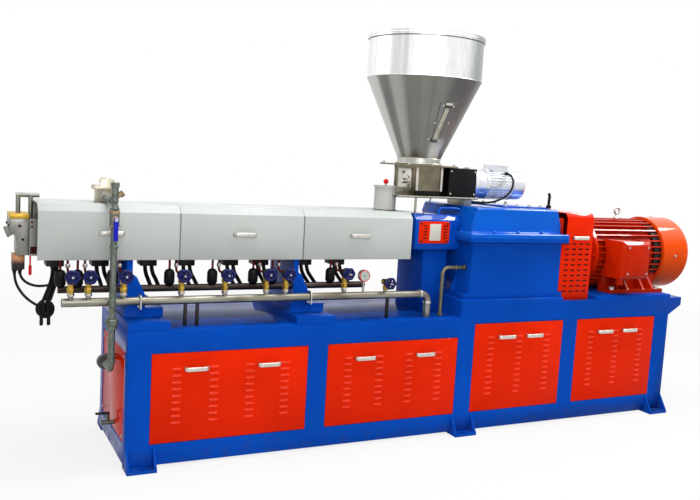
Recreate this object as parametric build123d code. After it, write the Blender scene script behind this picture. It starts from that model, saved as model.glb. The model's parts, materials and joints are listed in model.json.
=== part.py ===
# Twin-screw plastic extruder on a box base, in millimetres.
# +X runs from the die to the drive motor, -Y is the operator's side and +Z is up.
# The origin lies on the floor, under the middle of the machine's length and width.
from build123d import *
from math import pi, tan
import os

# Base frame: a welded box on six feet, with a low deck under the barrel and a high deck under the drive
BASE_DEPTH = 700.0
LOW_DECK_Z = 700.0
HIGH_DECK_Z = 780.0
HIGH_DECK_LEAD = 105.0
LEDGE_REACH = 110.0
LEDGE_TIP_HEIGHT = 54.0
LEDGE_ROOT_HEIGHT = 119.0
LEDGE_CHEEK = 20.0

# Lift-off panels, sunk in shallow recesses of the base
END_POST = 118.0
FAR_POST = 123.0
MID_POST = 115.0
END_PANEL_POST = 65.0
PANEL_WIDE = 840.0
PANEL_NARROW = 668.0
PANEL_SILL_Z = 121.0
LOW_PANEL_HEAD_Z = 583.0
HIGH_PANEL_HEAD_Z = 659.0
PANEL_SHEET = 8.0
PANEL_SUNK = 2.0
PANEL_GAP = 2.0

# Bow handles on panels, covers and guard
HANDLE_SPAN = 125.0
HANDLE_PROUD = 36.0
HANDLE_BAR = 10.0
HANDLE_HEIGHT = 22.0
HANDLE_BEVEL = 14.0
PANEL_HANDLE_DROP = 84.0
WIDE_HANDLE_PITCH = 388.0
NARROW_HANDLE_PITCH = 210.0
COVER_HANDLE_Z = 1160.0
GUARD_HANDLE_Z = 1175.0

# Feet, which hold the base off the floor
FOOT_WIDTH = 147.0
FOOT_OUT = 65.0
FOOT_IN = 60.0
FOOT_PLATE = 15.0
GUSSET_HEIGHT = 100.0
GUSSET_SHEET = 12.0
ANCHOR_HOLE = 22.0

# Gearbox on its bedplate
BED_SHEET = 24.0
BED_OVER = 25.0
GEAR_SET_BACK = 63.0
GEAR_LENGTH = 669.0
GEAR_HALF = 320.0
GEAR_SPLIT_Z = 1168.0
GEAR_TOP_Z = 1345.0
GEAR_FLANGE = 28.0
GEAR_LIP = 33.0
GEAR_SIDE_LIP = 30.0
GEAR_FOOT = 30.0
GEAR_COVER_HALF = 300.0
GEAR_COVER_SLOPE = 35.0
GEAR_COVER_HEEL = 50.0
GEAR_CROWN = 16.0
GEAR_RIB = 20.0
OIL_PIPE_RADIUS = 11.0
OIL_PIPE_Y = -264.0
OIL_PIPE_Z = 985.0
OIL_PIPE_STAND = 159.0
OIL_PIPE_BEND = 40.0

# Barrel line: lantern, barrel, adaptor and die follow each other from the gearbox to the left
SCREW_Z = 1130.0
LANTERN_LENGTH = 317.0
LANTERN_HALF = 190.0
LANTERN_LOW_Z = 1079.0
LANTERN_TOP_Z = 1289.0
LANTERN_BEVEL = 34.0
LANTERN_PLATE_LENGTH = 210.0
LANTERN_PLATE_HEIGHT = 130.0
LANTERN_PLATE_SHEET = 5.0
LANTERN_PLATE_AT = 127.0
LANTERN_PLATE_ROUND = 12.0
PEDESTAL_LENGTH = 165.0
PEDESTAL_HALF = 150.0
BARREL_OVERHANG = 392.0
BARREL_HALF = 85.0
BARREL_HEIGHT = 190.0
BARREL_MODULES = 6
BARREL_GROOVE = 5.0
ADAPTOR_LENGTH = 35.0
ADAPTOR_HALF = 100.0
ADAPTOR_LOW_Z = 1036.0
ADAPTOR_TOP_Z = 1213.0
DIE_LENGTH = 88.0
DIE_HALF = 88.0
DIE_NOSE_DROP = 60.0
DIE_BACK_CUT = 34.0
DIE_CLAMP_REACH = 26.0
DIE_CLAMP_TOP = 14.0
DIE_CLAMP_Y = -20.0
DIE_CLAMP_WIDTH = 50.0
DIE_HEATER_SHEET = 22.0
DIE_BOX_LENGTH = 56.0
DIE_BOX_DROP = 75.0
DIE_BOX_HALF = 40.0
DIE_BOX_SET_IN = 18.0
SENSOR_RADIUS = 11.0
SENSOR_IN = 12.5
SENSOR_TOP_Z = 1322.0
SENSOR_ARM = 68.0
SENSOR_TAIL = 40.0

# Barrel supports on the low deck
SUPPORT_BEAM_HEIGHT = 40.0
SUPPORT_BEAM_OUT = 26.0
SUPPORT_BLOCK_LENGTH = 196.0
SUPPORT_BLOCK_HALF = 190.0
SUPPORT_BLOCK_HEIGHT = 42.0
SUPPORT_POST = 28.0
SUPPORT_POST_HALF = 180.0
SUPPORT_POST_IN = 12.0
SUPPORT_GUSSET = 16.0
SUPPORT_GUSSET_REACH = 66.0
SUPPORT_GUSSET_HEIGHT = 172.0
SUPPORT_FOOT_HEIGHT = 64.0
SUPPORT_AT = (11.0, 908.0)

# Sheet covers over the barrel, open below
COVER_SEAM = 1.5
COVER_COUNT = 3
COVER_HALF = 190.0
COVER_LOW_Z = 1025.0
COVER_SHOULDER_Z = 1262.0
COVER_TOP_Z = 1297.0
COVER_BEVEL = 35.0
COVER_SHEET = 4.0
COVER_OVER = 8.0
COVER_END_GAP = 20.0
COVER_PORT_GAP = 5.0
COVER_BRACKET = 8.0
COVER_BRACKET_HEIGHT = 45.0
COVER_BRACKET_IN = 150.0

# Vacuum port on the first cover and capped vent on the last one
VACUUM_AT = -70.0
VACUUM_SIDE = 76.0
VACUUM_TOP_Z = 1362.0
VACUUM_LID = 16.0
VACUUM_LID_SIDE = 104.0
VACUUM_CLAMP_WIDTH = 30.0
VACUUM_CLAMP_IN = 34.0
VACUUM_CLAMP_HEIGHT = 38.0
VENT_BACK = 111.0
VENT_RADIUS = 65.0
VENT_TOP_Z = 1440.0
VENT_LID = 8.0
VENT_KNOB_RADIUS = 15.0
VENT_KNOB_NECK = 10.0

# Standpipe of the vacuum line, with its ball valve and its way into the base
PIPE_RADIUS = 16.5
PIPE_Y = -312.0
PIPE_BEND = 34.0
PIPE_TOP_Z = 1324.0
PIPE_FOOT_Z = 505.0
PIPE_FOOT_Y = -40.0
UNION_RADIUS = 25.0
UNION_HEIGHT = 34.0
UNION_Z = 725.0
COLLAR_RADIUS = 36.0
COLLAR_LENGTH = 30.0
COLLAR_Y = -140.0
BALL_RADIUS = 23.0
BALL_HEIGHT = 56.0
BALL_Z = 1238.0
STEM_BOSS_RADIUS = 9.0
STEM_BOSS_LENGTH = 22.0
LEVER_LENGTH = 100.0
LEVER_WIDTH = 22.0
LEVER_SHEET = 7.0
RUN_GAP = 0.3
PIN_RADIUS = 4.0

# Drain tap on the left end
TAP_Y = -50.0
TAP_Z = 157.0
TAP_LENGTH = 64.0
TAP_RADIUS = 12.0
TAP_NECK_HEIGHT = 46.0
TAP_HANDLE_LENGTH = 62.0
TAP_HANDLE_WIDTH = 20.0
TAP_HANDLE_SHEET = 9.0

# Cooling-water manifolds and their valve stations
MANIFOLD_RADIUS = 21.0
MANIFOLD_Y = -265.0
MANIFOLD_Z = 832.0
MANIFOLD_LEFT_AT = -297.0
MANIFOLD_END_GAP = 190.0
MANIFOLD_BEND = 44.0
RETURN_RADIUS = 18.0
RETURN_Y = -150.0
RETURN_Z = 876.0
RETURN_LEFT_AT = -270.0
RETURN_RIGHT_AT = 1370.0
SADDLE_RADIUS = 12.0
SADDLE_HEIGHT = 30.0
STATIONS_AT = (-256.0, -175.0, -8.0, 277.0, 504.0, 730.0, 840.0, 1188.0)
LOW_STATION_AT = 1450.0
BRASS_RADIUS = 14.0
BRASS_HEIGHT = 83.0
LOW_BRASS_HEIGHT = 26.0
VALVE_RADIUS = 17.0
VALVE_LENGTH = 50.0
BONNET_RADIUS = 11.0
BONNET_LENGTH = 24.0
WHEEL_RADIUS = 36.0
WHEEL_RIM = 5.0
WHEEL_HUB_RADIUS = 10.0
WHEEL_HUB_LENGTH = 16.0
WHEEL_SPOKES = 5
WHEEL_SPOKE = 6.0
COIL_SIDE = 30.0
COIL_DEPTH = 36.0
COIL_SADDLE = 26.0
COIL_HEIGHT = 56.0
COIL_OFFSET = -34.0
TUBE_RADIUS = 6.0
TUBE_BEND = 24.0
TUBE_ENTRY_DROP = 20.0
GAUGE_AT = 1308.0
GAUGE_RADIUS = 33.0
GAUGE_DEPTH = 26.0
GAUGE_Z = 944.0
GAUGE_STEM = 7.0
PIPE_REST_LENGTH = 26.0
PIPE_REST_HALF = 14.0

# Heater terminal boxes under the barrel
HEATER_BOX_LENGTH = 84.0
HEATER_BOX_HALF = 50.0
HEATER_BOX_DROP = 60.0
HEATER_BOXES_AT = (-301.0, -84.0, 160.0, 362.0, 604.0, 780.0, 1040.0, 1248.0)

# Coupling guard and drive motor
GUARD_HALF = 318.0
GUARD_SHOULDER_Z = 1296.0
GUARD_TOP_Z = 1328.0
GUARD_BEVEL = 22.0
GUARD_SHEET = 4.0
GUARD_REACH = 250.0
GUARD_FIT = 2.0
GUARD_SHAFT_GAP = 8.0
MOTOR_GAP = 93.0
MOTOR_HEIGHT = 245.0
MOTOR_BELL = 50.0
MOTOR_FRAME = 574.0
MOTOR_COWL = 263.0
MOTOR_CORE_RADIUS = 205.0
MOTOR_FIN_RADIUS = 233.0
MOTOR_FIN = 8.0
MOTOR_FINS = 36
MOTOR_COWL_RADIUS = 248.0
MOTOR_COWL_ROUND = 60.0
MOTOR_SHAFT_RADIUS = 37.0
MOTOR_BED_LEAD = 40.0
MOTOR_BED_LENGTH = 650.0
MOTOR_FOOT_HALF = 275.0
MOTOR_FOOT_WIDTH = 120.0
MOTOR_FOOT_SHEET = 24.0
MOTOR_FOOT_LENGTH = 470.0
MOTOR_FOOT_IN = 136.0
MOTOR_WEB = 30.0
TERMINAL_LENGTH = 240.0
TERMINAL_IN = 105.0
TERMINAL_LOW_Z = 915.0
TERMINAL_TOP_Z = 1160.0
TERMINAL_FRONT_Y = -400.0
TERMINAL_BEVEL = 22.0
TERMINAL_BED_Y = -190.0
TERMINAL_GLAND_RADIUS = 24.0
TERMINAL_GLAND_LENGTH = 46.0

# Feeder over the lantern, with its hopper
FEEDER_PLATE_LOW_Z = 1385.0
FEEDER_PLATE_SHEET = 8.0
FEEDER_PLATE_LEAD = 102.0
FEEDER_PLATE_HALF = 150.0
FEEDER_RAIL = 30.0
FEEDER_POST_RADIUS = 7.0
FEEDER_POST_IN = 20.0
FEEDER_PAD_LENGTH = 60.0
FEEDER_PAD_HALF = 90.0
FEEDER_BOX_IN = 21.0
FEEDER_BOX_LENGTH = 167.0
FEEDER_BOX_HALF = 130.0
FEEDER_SADDLE = 30.0
FEEDER_THROAT_RADIUS = 60.0
FEEDER_NECK = 65.0
FEEDER_NECK_RADIUS = 45.0
FEEDER_GUARD_LENGTH = 199.0
FEEDER_GUARD_HALF = 120.0
FEEDER_MOTOR_Z = 1476.0
FEEDER_FLANGE = 26.0
FEEDER_FLANGE_RADIUS = 100.0
FEEDER_MOTOR_RADIUS = 84.0
FEEDER_MOTOR_LENGTH = 288.0
FEEDER_FAN_LENGTH = 95.0
FEEDER_FAN_RADIUS = 90.0
FEEDER_TERMINAL_AT = 195.0
FEEDER_TERMINAL_SIDE = 110.0
FEEDER_TERMINAL_TOP_Z = 1592.0
HOPPER_PLATE_HALF = 172.0
HOPPER_PLATE_SHEET = 10.0
HOPPER_PLATE_LOW_Z = 1566.0
HOPPER_NECK_RADIUS = 130.0
HOPPER_NECK_HEIGHT = 36.0
HOPPER_RADIUS = 340.0
HOPPER_CONE_HEIGHT = 461.0
HOPPER_WALL_HEIGHT = 223.0
HOPPER_SHEET = 4.0
HOPPER_LID = 28.0
HOPPER_LID_LIP = 6.0
HOPPER_LID_DOME = 14.0
WINDOW_WIDTH = 96.0
WINDOW_TOP_DROP = 140.0
WINDOW_FOOT_RISE = 95.0
WINDOW_SHEET = 6.0
WINDOW_TURN = 3.0

# Loose cables: radii, and the bunch that the trunk cable ends in
LEAD_RADIUS = 6.5
TRUNK_RADIUS = 14.0
FEEDER_CABLE_RADIUS = 6.5
BUNCH_RADIUS = 44.0
BUNCH_END_RADIUS = 24.0
BUNCH_HEIGHT = 90.0
BUNCH_SINK = 8.0
PLUG_RADIUS = 9.0
PLUG_LENGTH = 42.0
PLUG_PITCH = 34.0

# Places that follow from the sizes above
PANEL_STARTS = (
    END_POST,
    END_POST + PANEL_WIDE + MID_POST,
    END_POST + 2 * PANEL_WIDE + 2 * MID_POST,
    END_POST + 2 * PANEL_WIDE + PANEL_NARROW + 3 * MID_POST,
)
BASE_LENGTH = PANEL_STARTS[3] + PANEL_NARROW + FAR_POST
HIGH_DECK_AT = PANEL_STARTS[2] - HIGH_DECK_LEAD
GEAR_FACE_AT = HIGH_DECK_AT + GEAR_SET_BACK
BED_LENGTH = GEAR_SET_BACK + GEAR_LENGTH + BED_OVER
GUARD_RIGHT_AT = GEAR_FACE_AT + GEAR_LENGTH + GUARD_REACH
MOTOR_AT = GUARD_RIGHT_AT + MOTOR_GAP
MOTOR_BED_AT = MOTOR_AT - MOTOR_BED_LEAD
MOTOR_FOOT_AT = MOTOR_AT + MOTOR_FOOT_IN
TERMINAL_AT = MOTOR_AT + TERMINAL_IN
COWL_END_AT = MOTOR_AT + MOTOR_BELL + MOTOR_FRAME + MOTOR_COWL
LANTERN_AT = GEAR_FACE_AT - LANTERN_LENGTH
BARREL_AT = -BARREL_OVERHANG
BARREL_LENGTH = LANTERN_AT - BARREL_AT
ADAPTOR_AT = BARREL_AT - ADAPTOR_LENGTH
DIE_AT = ADAPTOR_AT - DIE_LENGTH
COVER_LEFT_AT = BARREL_AT - COVER_OVER
COVER_LENGTH = (LANTERN_AT - COVER_END_GAP - COVER_LEFT_AT) / COVER_COUNT
VENT_AT = LANTERN_AT - VENT_BACK
FEEDER_PLATE_AT = LANTERN_AT - FEEDER_PLATE_LEAD
FEEDER_BOX_AT = LANTERN_AT + FEEDER_BOX_IN
MANIFOLD_RIGHT_AT = HIGH_DECK_AT - MANIFOLD_END_GAP
BASE_X0 = -(DIE_AT - DIE_CLAMP_REACH + COWL_END_AT) / 2
BASE_HALF = BASE_DEPTH / 2
FRONT_Y = -BASE_HALF
SIDES = (-1, 1)
BED_TOP_Z = HIGH_DECK_Z + BED_SHEET
MOTOR_Z = BED_TOP_Z + MOTOR_HEIGHT
BARREL_LOW_Z = SCREW_Z - BARREL_HEIGHT / 2
BARREL_TOP_Z = SCREW_Z + BARREL_HEIGHT / 2
PANEL_WIDTHS = (PANEL_WIDE, PANEL_WIDE, PANEL_NARROW, PANEL_NARROW)
PANEL_HEADS = (LOW_PANEL_HEAD_Z, LOW_PANEL_HEAD_Z, HIGH_PANEL_HEAD_Z, HIGH_PANEL_HEAD_Z)
HANDLE_PITCHES = (WIDE_HANDLE_PITCH, WIDE_HANDLE_PITCH, NARROW_HANDLE_PITCH, NARROW_HANDLE_PITCH)
MID_FOOT_AT = PANEL_STARTS[2] - MID_POST / 2
FOOT_CENTRES = (FOOT_WIDTH / 2, MID_FOOT_AT, BASE_LENGTH - FOOT_WIDTH / 2)

nodes = {}


def at(offset):
    """X of a place measured from the base's left end."""
    return BASE_X0 + offset


def block(x0, x1, y0, y1, z0, z1):
    """Box between two corners."""
    return Pos((x0 + x1) / 2, (y0 + y1) / 2, (z0 + z1) / 2) * Box(x1 - x0, y1 - y0, z1 - z0)


def rod_x(radius, x0, x1, y, z):
    """Round bar along X."""
    return Pos((x0 + x1) / 2, y, z) * Rot(0, 90, 0) * Cylinder(radius, x1 - x0)


def rod_y(radius, x, y0, y1, z):
    """Round bar along Y."""
    return Pos(x, (y0 + y1) / 2, z) * Rot(90, 0, 0) * Cylinder(radius, y1 - y0)


def rod_z(radius, x, y, z0, z1):
    """Round bar along Z."""
    return Pos(x, y, (z0 + z1) / 2) * Cylinder(radius, z1 - z0)


def prism_y(points, y0, y1):
    """Outline of (x, z) points pulled from y0 to y1."""
    face = make_face(Polyline(*[(x, y0, z) for x, z in points], close=True).edges())
    return extrude(face, y1 - y0, dir=(0, 1, 0))


def prism_x(points, x0, x1):
    """Outline of (y, z) points pulled from x0 to x1."""
    face = make_face(Polyline(*[(x0, y, z) for y, z in points], close=True).edges())
    return extrude(face, x1 - x0, dir=(1, 0, 0))


def prism_z(points, z0, z1):
    """Outline of (x, y) points pulled from z0 to z1."""
    face = make_face(Polyline(*[(x, y, z0) for x, y in points], close=True).edges())
    return extrude(face, z1 - z0, dir=(0, 0, 1))


def bent_tube(points, radius, bend):
    """Round tube along straight runs joined by tangent arcs."""
    path = FilletPolyline(*points, radius=bend)
    return sweep(Plane(origin=path @ 0, z_dir=path % 0) * Circle(radius), path)


def turned(profile, x, y, z):
    """Profile of (radius, height) points turned about an upright axis."""
    outline = make_face(Polyline(*[(r, 0, h) for r, h in profile], close=True).edges())
    return Pos(x, y, z) * revolve(outline, Axis.Z)


def turned_x(profile, x, y, z):
    """Profile of (radius, run) points turned about a level axis along X."""
    outline = make_face(Polyline(*[(run, r, 0) for r, run in profile], close=True).edges())
    return Pos(x, y, z) * revolve(outline, Axis.X)


def group(solids):
    """Like pieces that don't touch, kept together."""
    return Compound([piece for solid in solids for piece in solid.solids()])


def bow_handle(x, face_y, z, side):
    """Bow handle that stands off a face at face_y towards the given side."""
    half = HANDLE_SPAN / 2
    outer = [(-half, 0), (-half, HANDLE_PROUD - HANDLE_BEVEL), (HANDLE_BEVEL - half, HANDLE_PROUD)]
    inner_half = half - HANDLE_BAR
    inner_proud = HANDLE_PROUD - HANDLE_BAR
    inner_bevel = HANDLE_BEVEL - HANDLE_BAR / 2
    inner = [
        (-inner_half, 0),
        (-inner_half, inner_proud - inner_bevel),
        (inner_bevel - inner_half, inner_proud),
    ]
    left = outer
    right = [(-u, v) for u, v in reversed(outer)]
    back = inner + [(-u, v) for u, v in reversed(inner)]
    outline = [(x + u, face_y + side * v) for u, v in left + right + back[::-1]]
    return prism_z(outline, z - HANDLE_HEIGHT / 2, z + HANDLE_HEIGHT / 2)


def hood_outline(half, low_z, shoulder_z, top_z, bevel, inset=0.0):
    """Outline of a hood with bevelled shoulders, drawn in by the inset."""
    corner = inset * tan(pi / 8)
    return [
        (-half + inset, low_z),
        (-half + inset, shoulder_z - corner),
        (-half + bevel + corner, top_z - inset),
        (half - bevel - corner, top_z - inset),
        (half - inset, shoulder_z - corner),
        (half - inset, low_z),
    ]


def hood(x0, x1, half, low_z, shoulder_z, top_z, bevel, sheet):
    """Sheet hood, open below and at both ends."""
    outer = prism_x(hood_outline(half, low_z, shoulder_z, top_z, bevel), x0, x1)
    return outer - prism_x(hood_outline(half, low_z, shoulder_z, top_z, bevel, sheet), x0, x1)


# Base frame with its panels
def panel_recess(x0, width, side, head_z):
    face_y = side * BASE_HALF
    deep_y = face_y - side * (PANEL_SHEET + PANEL_SUNK)
    return block(x0, x0 + width, min(face_y, deep_y), max(face_y, deep_y), PANEL_SILL_Z, head_z)


def panel_sheet(x0, width, side, head_z):
    outer_y = side * (BASE_HALF - PANEL_SUNK)
    inner_y = outer_y - side * PANEL_SHEET
    return block(
        x0 + PANEL_GAP,
        x0 + width - PANEL_GAP,
        min(outer_y, inner_y),
        max(outer_y, inner_y),
        PANEL_SILL_Z + PANEL_GAP,
        head_z - PANEL_GAP,
    )


def end_panel(face_x, inward, head_z, gap, depth, sunk):
    """Sheet or recess in an end of the base, whose inside lies in the inward direction."""
    outer_x = face_x + inward * sunk
    inner_x = outer_x + inward * depth
    half = BASE_HALF - END_PANEL_POST - gap
    return block(min(outer_x, inner_x), max(outer_x, inner_x), -half, half, PANEL_SILL_Z + gap, head_z - gap)


def base_frame():
    outline = [
        (at(0), FOOT_PLATE),
        (at(BASE_LENGTH), FOOT_PLATE),
        (at(BASE_LENGTH), HIGH_DECK_Z),
        (at(HIGH_DECK_AT), HIGH_DECK_Z),
        (at(HIGH_DECK_AT), LOW_DECK_Z),
        (at(0), LOW_DECK_Z),
    ]
    frame = prism_y(outline, -BASE_HALF, BASE_HALF)
    for side in SIDES:
        for start, width, head in zip(PANEL_STARTS, PANEL_WIDTHS, PANEL_HEADS):
            frame -= panel_recess(at(start), width, side, head)
    recess = PANEL_SHEET + PANEL_SUNK
    frame -= end_panel(at(0), 1, LOW_PANEL_HEAD_Z, 0, recess, 0)
    frame -= end_panel(at(BASE_LENGTH), -1, HIGH_PANEL_HEAD_Z, 0, recess, 0)
    root = at(BASE_LENGTH)
    tip = root + LEDGE_REACH
    cheek = [
        (root, HIGH_DECK_Z),
        (tip, HIGH_DECK_Z),
        (tip, HIGH_DECK_Z - LEDGE_TIP_HEIGHT),
        (root, HIGH_DECK_Z - LEDGE_ROOT_HEIGHT),
    ]
    frame += prism_y(cheek, -BASE_HALF, -BASE_HALF + LEDGE_CHEEK)
    frame += prism_y(cheek, BASE_HALF - LEDGE_CHEEK, BASE_HALF)
    frame += block(root, tip, -BASE_HALF, BASE_HALF, HIGH_DECK_Z - LEDGE_CHEEK, HIGH_DECK_Z)
    return frame


def foot(centre, side):
    """Foot plate under the base's edge, with two gussets and an anchor hole."""
    x0 = at(centre) - FOOT_WIDTH / 2
    x1 = x0 + FOOT_WIDTH
    face_y = side * BASE_HALF
    out_y = face_y + side * FOOT_OUT
    in_y = face_y - side * FOOT_IN
    piece = block(x0, x1, min(out_y, in_y), max(out_y, in_y), 0, FOOT_PLATE)
    piece -= rod_z(ANCHOR_HOLE / 2, at(centre), face_y + side * FOOT_OUT / 2, 0, FOOT_PLATE)
    web = [(face_y, FOOT_PLATE), (out_y, FOOT_PLATE), (face_y, FOOT_PLATE + GUSSET_HEIGHT)]
    piece += prism_x(web, x0, x0 + GUSSET_SHEET)
    piece += prism_x(web, x1 - GUSSET_SHEET, x1)
    return piece


def panel_handles():
    handles = []
    for side in SIDES:
        face_y = side * (BASE_HALF - PANEL_SUNK)
        for start, width, head, pitch in zip(PANEL_STARTS, PANEL_WIDTHS, PANEL_HEADS, HANDLE_PITCHES):
            middle = at(start) + width / 2
            for step in (-pitch / 2, pitch / 2):
                handles.append(bow_handle(middle + step, face_y, head - PANEL_HANDLE_DROP, side))
    return handles


nodes["base_frame"] = base_frame()
nodes["foot_brackets"] = group([foot(centre, side) for centre in FOOT_CENTRES for side in SIDES])
for name, side in (("front_panels", -1), ("rear_panels", 1)):
    places = zip(PANEL_STARTS, PANEL_WIDTHS, PANEL_HEADS)
    nodes[name] = group([panel_sheet(at(start), width, side, head) for start, width, head in places])
nodes["end_panels"] = group(
    [
        end_panel(at(0), 1, LOW_PANEL_HEAD_Z, PANEL_GAP, PANEL_SHEET, PANEL_SUNK),
        end_panel(at(BASE_LENGTH), -1, HIGH_PANEL_HEAD_Z, PANEL_GAP, PANEL_SHEET, PANEL_SUNK),
    ]
)


# Gearbox
GEAR_X0 = at(GEAR_FACE_AT)
GEAR_X1 = GEAR_X0 + GEAR_LENGTH
GEAR_LIP_HALF = GEAR_HALF + GEAR_SIDE_LIP


def gearbox_housing():
    foot_top = BED_TOP_Z + GEAR_FOOT
    split_low = GEAR_SPLIT_Z - GEAR_FLANGE
    casing = block(GEAR_X0, GEAR_X1, -GEAR_HALF, GEAR_HALF, BED_TOP_Z, split_low)
    lip_x0 = GEAR_X0 - GEAR_LIP
    lip_x1 = GEAR_X1 + GEAR_LIP
    casing += block(lip_x0, lip_x1, -GEAR_HALF, GEAR_HALF, BED_TOP_Z, foot_top)
    casing += block(lip_x0, lip_x1, -GEAR_LIP_HALF, GEAR_LIP_HALF, split_low, GEAR_SPLIT_Z)
    for side in SIDES:
        for share in (0.25, 0.75):
            y = (2 * share - 1) * GEAR_HALF
            x_face = GEAR_X1 if side > 0 else GEAR_X0
            reach = side * GEAR_LIP
            rib = [(x_face, foot_top), (x_face + reach, foot_top), (x_face, foot_top + 3 * GEAR_LIP)]
            casing += prism_y(rib, y - GEAR_RIB / 2, y + GEAR_RIB / 2)
    return casing


def gearbox_cover():
    lip_x0 = GEAR_X0 - GEAR_LIP
    lip_x1 = GEAR_X1 + GEAR_LIP
    flange_top = GEAR_SPLIT_Z + GEAR_FLANGE
    outline = [
        (GEAR_X0, flange_top),
        (GEAR_X0, flange_top + GEAR_COVER_HEEL),
        (GEAR_X0 + GEAR_COVER_SLOPE, GEAR_TOP_Z),
        (GEAR_X1 - GEAR_COVER_SLOPE, GEAR_TOP_Z),
        (GEAR_X1, flange_top + GEAR_COVER_HEEL),
        (GEAR_X1, flange_top),
    ]
    crown = prism_y(outline, -GEAR_COVER_HALF, GEAR_COVER_HALF)
    crown = fillet(crown.faces().sort_by(Axis.Z)[-1].edges(), GEAR_CROWN)
    return crown + block(lip_x0, lip_x1, -GEAR_LIP_HALF, GEAR_LIP_HALF, GEAR_SPLIT_Z, flange_top)


def oil_pipe():
    x = GEAR_X0 - OIL_PIPE_STAND
    route = [(x, OIL_PIPE_Y, LOW_DECK_Z), (x, OIL_PIPE_Y, OIL_PIPE_Z), (GEAR_X0, OIL_PIPE_Y, OIL_PIPE_Z)]
    return bent_tube(route, OIL_PIPE_RADIUS, OIL_PIPE_BEND)


nodes["bedplates"] = group(
    [
        block(at(start), at(start) + length, -BASE_HALF, BASE_HALF, HIGH_DECK_Z, BED_TOP_Z)
        for start, length in ((HIGH_DECK_AT, BED_LENGTH), (MOTOR_BED_AT, MOTOR_BED_LENGTH))
    ]
)
nodes["gearbox_housing"] = gearbox_housing()
nodes["gearbox_cover"] = gearbox_cover()
nodes["oil_pipe"] = oil_pipe()

# Lantern between gearbox and barrel
LANTERN_X0 = at(LANTERN_AT)


def lantern():
    outline = [
        (-LANTERN_HALF, LANTERN_LOW_Z),
        (-LANTERN_HALF, LANTERN_TOP_Z - LANTERN_BEVEL),
        (-LANTERN_HALF + LANTERN_BEVEL, LANTERN_TOP_Z),
        (LANTERN_HALF - LANTERN_BEVEL, LANTERN_TOP_Z),
        (LANTERN_HALF, LANTERN_TOP_Z - LANTERN_BEVEL),
        (LANTERN_HALF, LANTERN_LOW_Z),
    ]
    casing = prism_x(outline, LANTERN_X0, GEAR_X0)
    low_z = GEAR_SPLIT_Z - GEAR_FLANGE
    top_z = GEAR_SPLIT_Z + GEAR_FLANGE
    return casing - block(GEAR_X0 - GEAR_LIP, GEAR_X0, -LANTERN_HALF, LANTERN_HALF, low_z, top_z)


def lantern_plate(side):
    x0 = LANTERN_X0 + LANTERN_PLATE_AT - LANTERN_PLATE_LENGTH / 2
    middle_z = (LANTERN_LOW_Z + LANTERN_TOP_Z) / 2
    low_z = middle_z - LANTERN_PLATE_HEIGHT / 2
    face_y = side * LANTERN_HALF
    out_y = face_y + side * LANTERN_PLATE_SHEET
    top_z = low_z + LANTERN_PLATE_HEIGHT
    sheet = block(x0, x0 + LANTERN_PLATE_LENGTH, min(face_y, out_y), max(face_y, out_y), low_z, top_z)
    return fillet(sheet.edges().filter_by(Axis.Y), LANTERN_PLATE_ROUND)


nodes["lantern"] = lantern()
nodes["lantern_covers"] = group([lantern_plate(side) for side in SIDES])
nodes["lantern_pedestal"] = block(
    at(HIGH_DECK_AT) - PEDESTAL_LENGTH,
    at(HIGH_DECK_AT),
    -PEDESTAL_HALF,
    PEDESTAL_HALF,
    LOW_DECK_Z,
    LANTERN_LOW_Z,
)

# Barrel, supports, adaptor and die
BARREL_X0 = at(BARREL_AT)
COVER_INNER_HALF = COVER_HALF - COVER_SHEET


def cover_start(index):
    return at(COVER_LEFT_AT) + index * COVER_LENGTH


def cover_brackets():
    """Short angle plates that hold the covers off the barrel's sides."""
    plates = []
    for index in range(COVER_COUNT):
        x0 = cover_start(index)
        x1 = x0 + COVER_LENGTH - COVER_SEAM
        for x in (x0 + COVER_BRACKET_IN, x1 - COVER_BRACKET_IN):
            for side in SIDES:
                inner_y = side * BARREL_HALF
                outer_y = side * COVER_INNER_HALF
                low_z = COVER_SHOULDER_Z - 2 * COVER_BRACKET_HEIGHT
                plates.append(
                    block(
                        x - COVER_BRACKET / 2,
                        x + COVER_BRACKET / 2,
                        min(inner_y, outer_y),
                        max(inner_y, outer_y),
                        low_z,
                        low_z + COVER_BRACKET_HEIGHT,
                    )
                )
    return plates


def barrel():
    """Row of barrel modules with a groove at each joint, and plates that hold the covers off its sides."""
    pitch = BARREL_LENGTH / BARREL_MODULES
    body = block(BARREL_X0, LANTERN_X0, -BARREL_HALF, BARREL_HALF, BARREL_LOW_Z, BARREL_TOP_Z)
    core_half = BARREL_HALF - BARREL_GROOVE
    for step in range(1, BARREL_MODULES):
        x0 = BARREL_X0 + step * pitch - BARREL_GROOVE / 2
        x1 = x0 + BARREL_GROOVE
        ring = block(x0, x1, -BARREL_HALF, BARREL_HALF, BARREL_LOW_Z, BARREL_TOP_Z)
        core_low = BARREL_LOW_Z + BARREL_GROOVE
        core_top = BARREL_TOP_Z - BARREL_GROOVE
        body -= ring - block(x0, x1, -core_half, core_half, core_low, core_top)
    return body + cover_brackets()


def pipe_rest(x1):
    """Arm from a support's gusset that cups the manifold from behind."""
    x0 = x1 - PIPE_REST_LENGTH
    low_z = MANIFOLD_Z - PIPE_REST_HALF
    arm = block(x0, x1, MANIFOLD_Y, -SUPPORT_POST_HALF, low_z, low_z + 2 * PIPE_REST_HALF)
    return arm - rod_x(MANIFOLD_RADIUS + RUN_GAP, x0, x1, MANIFOLD_Y, MANIFOLD_Z)


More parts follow.
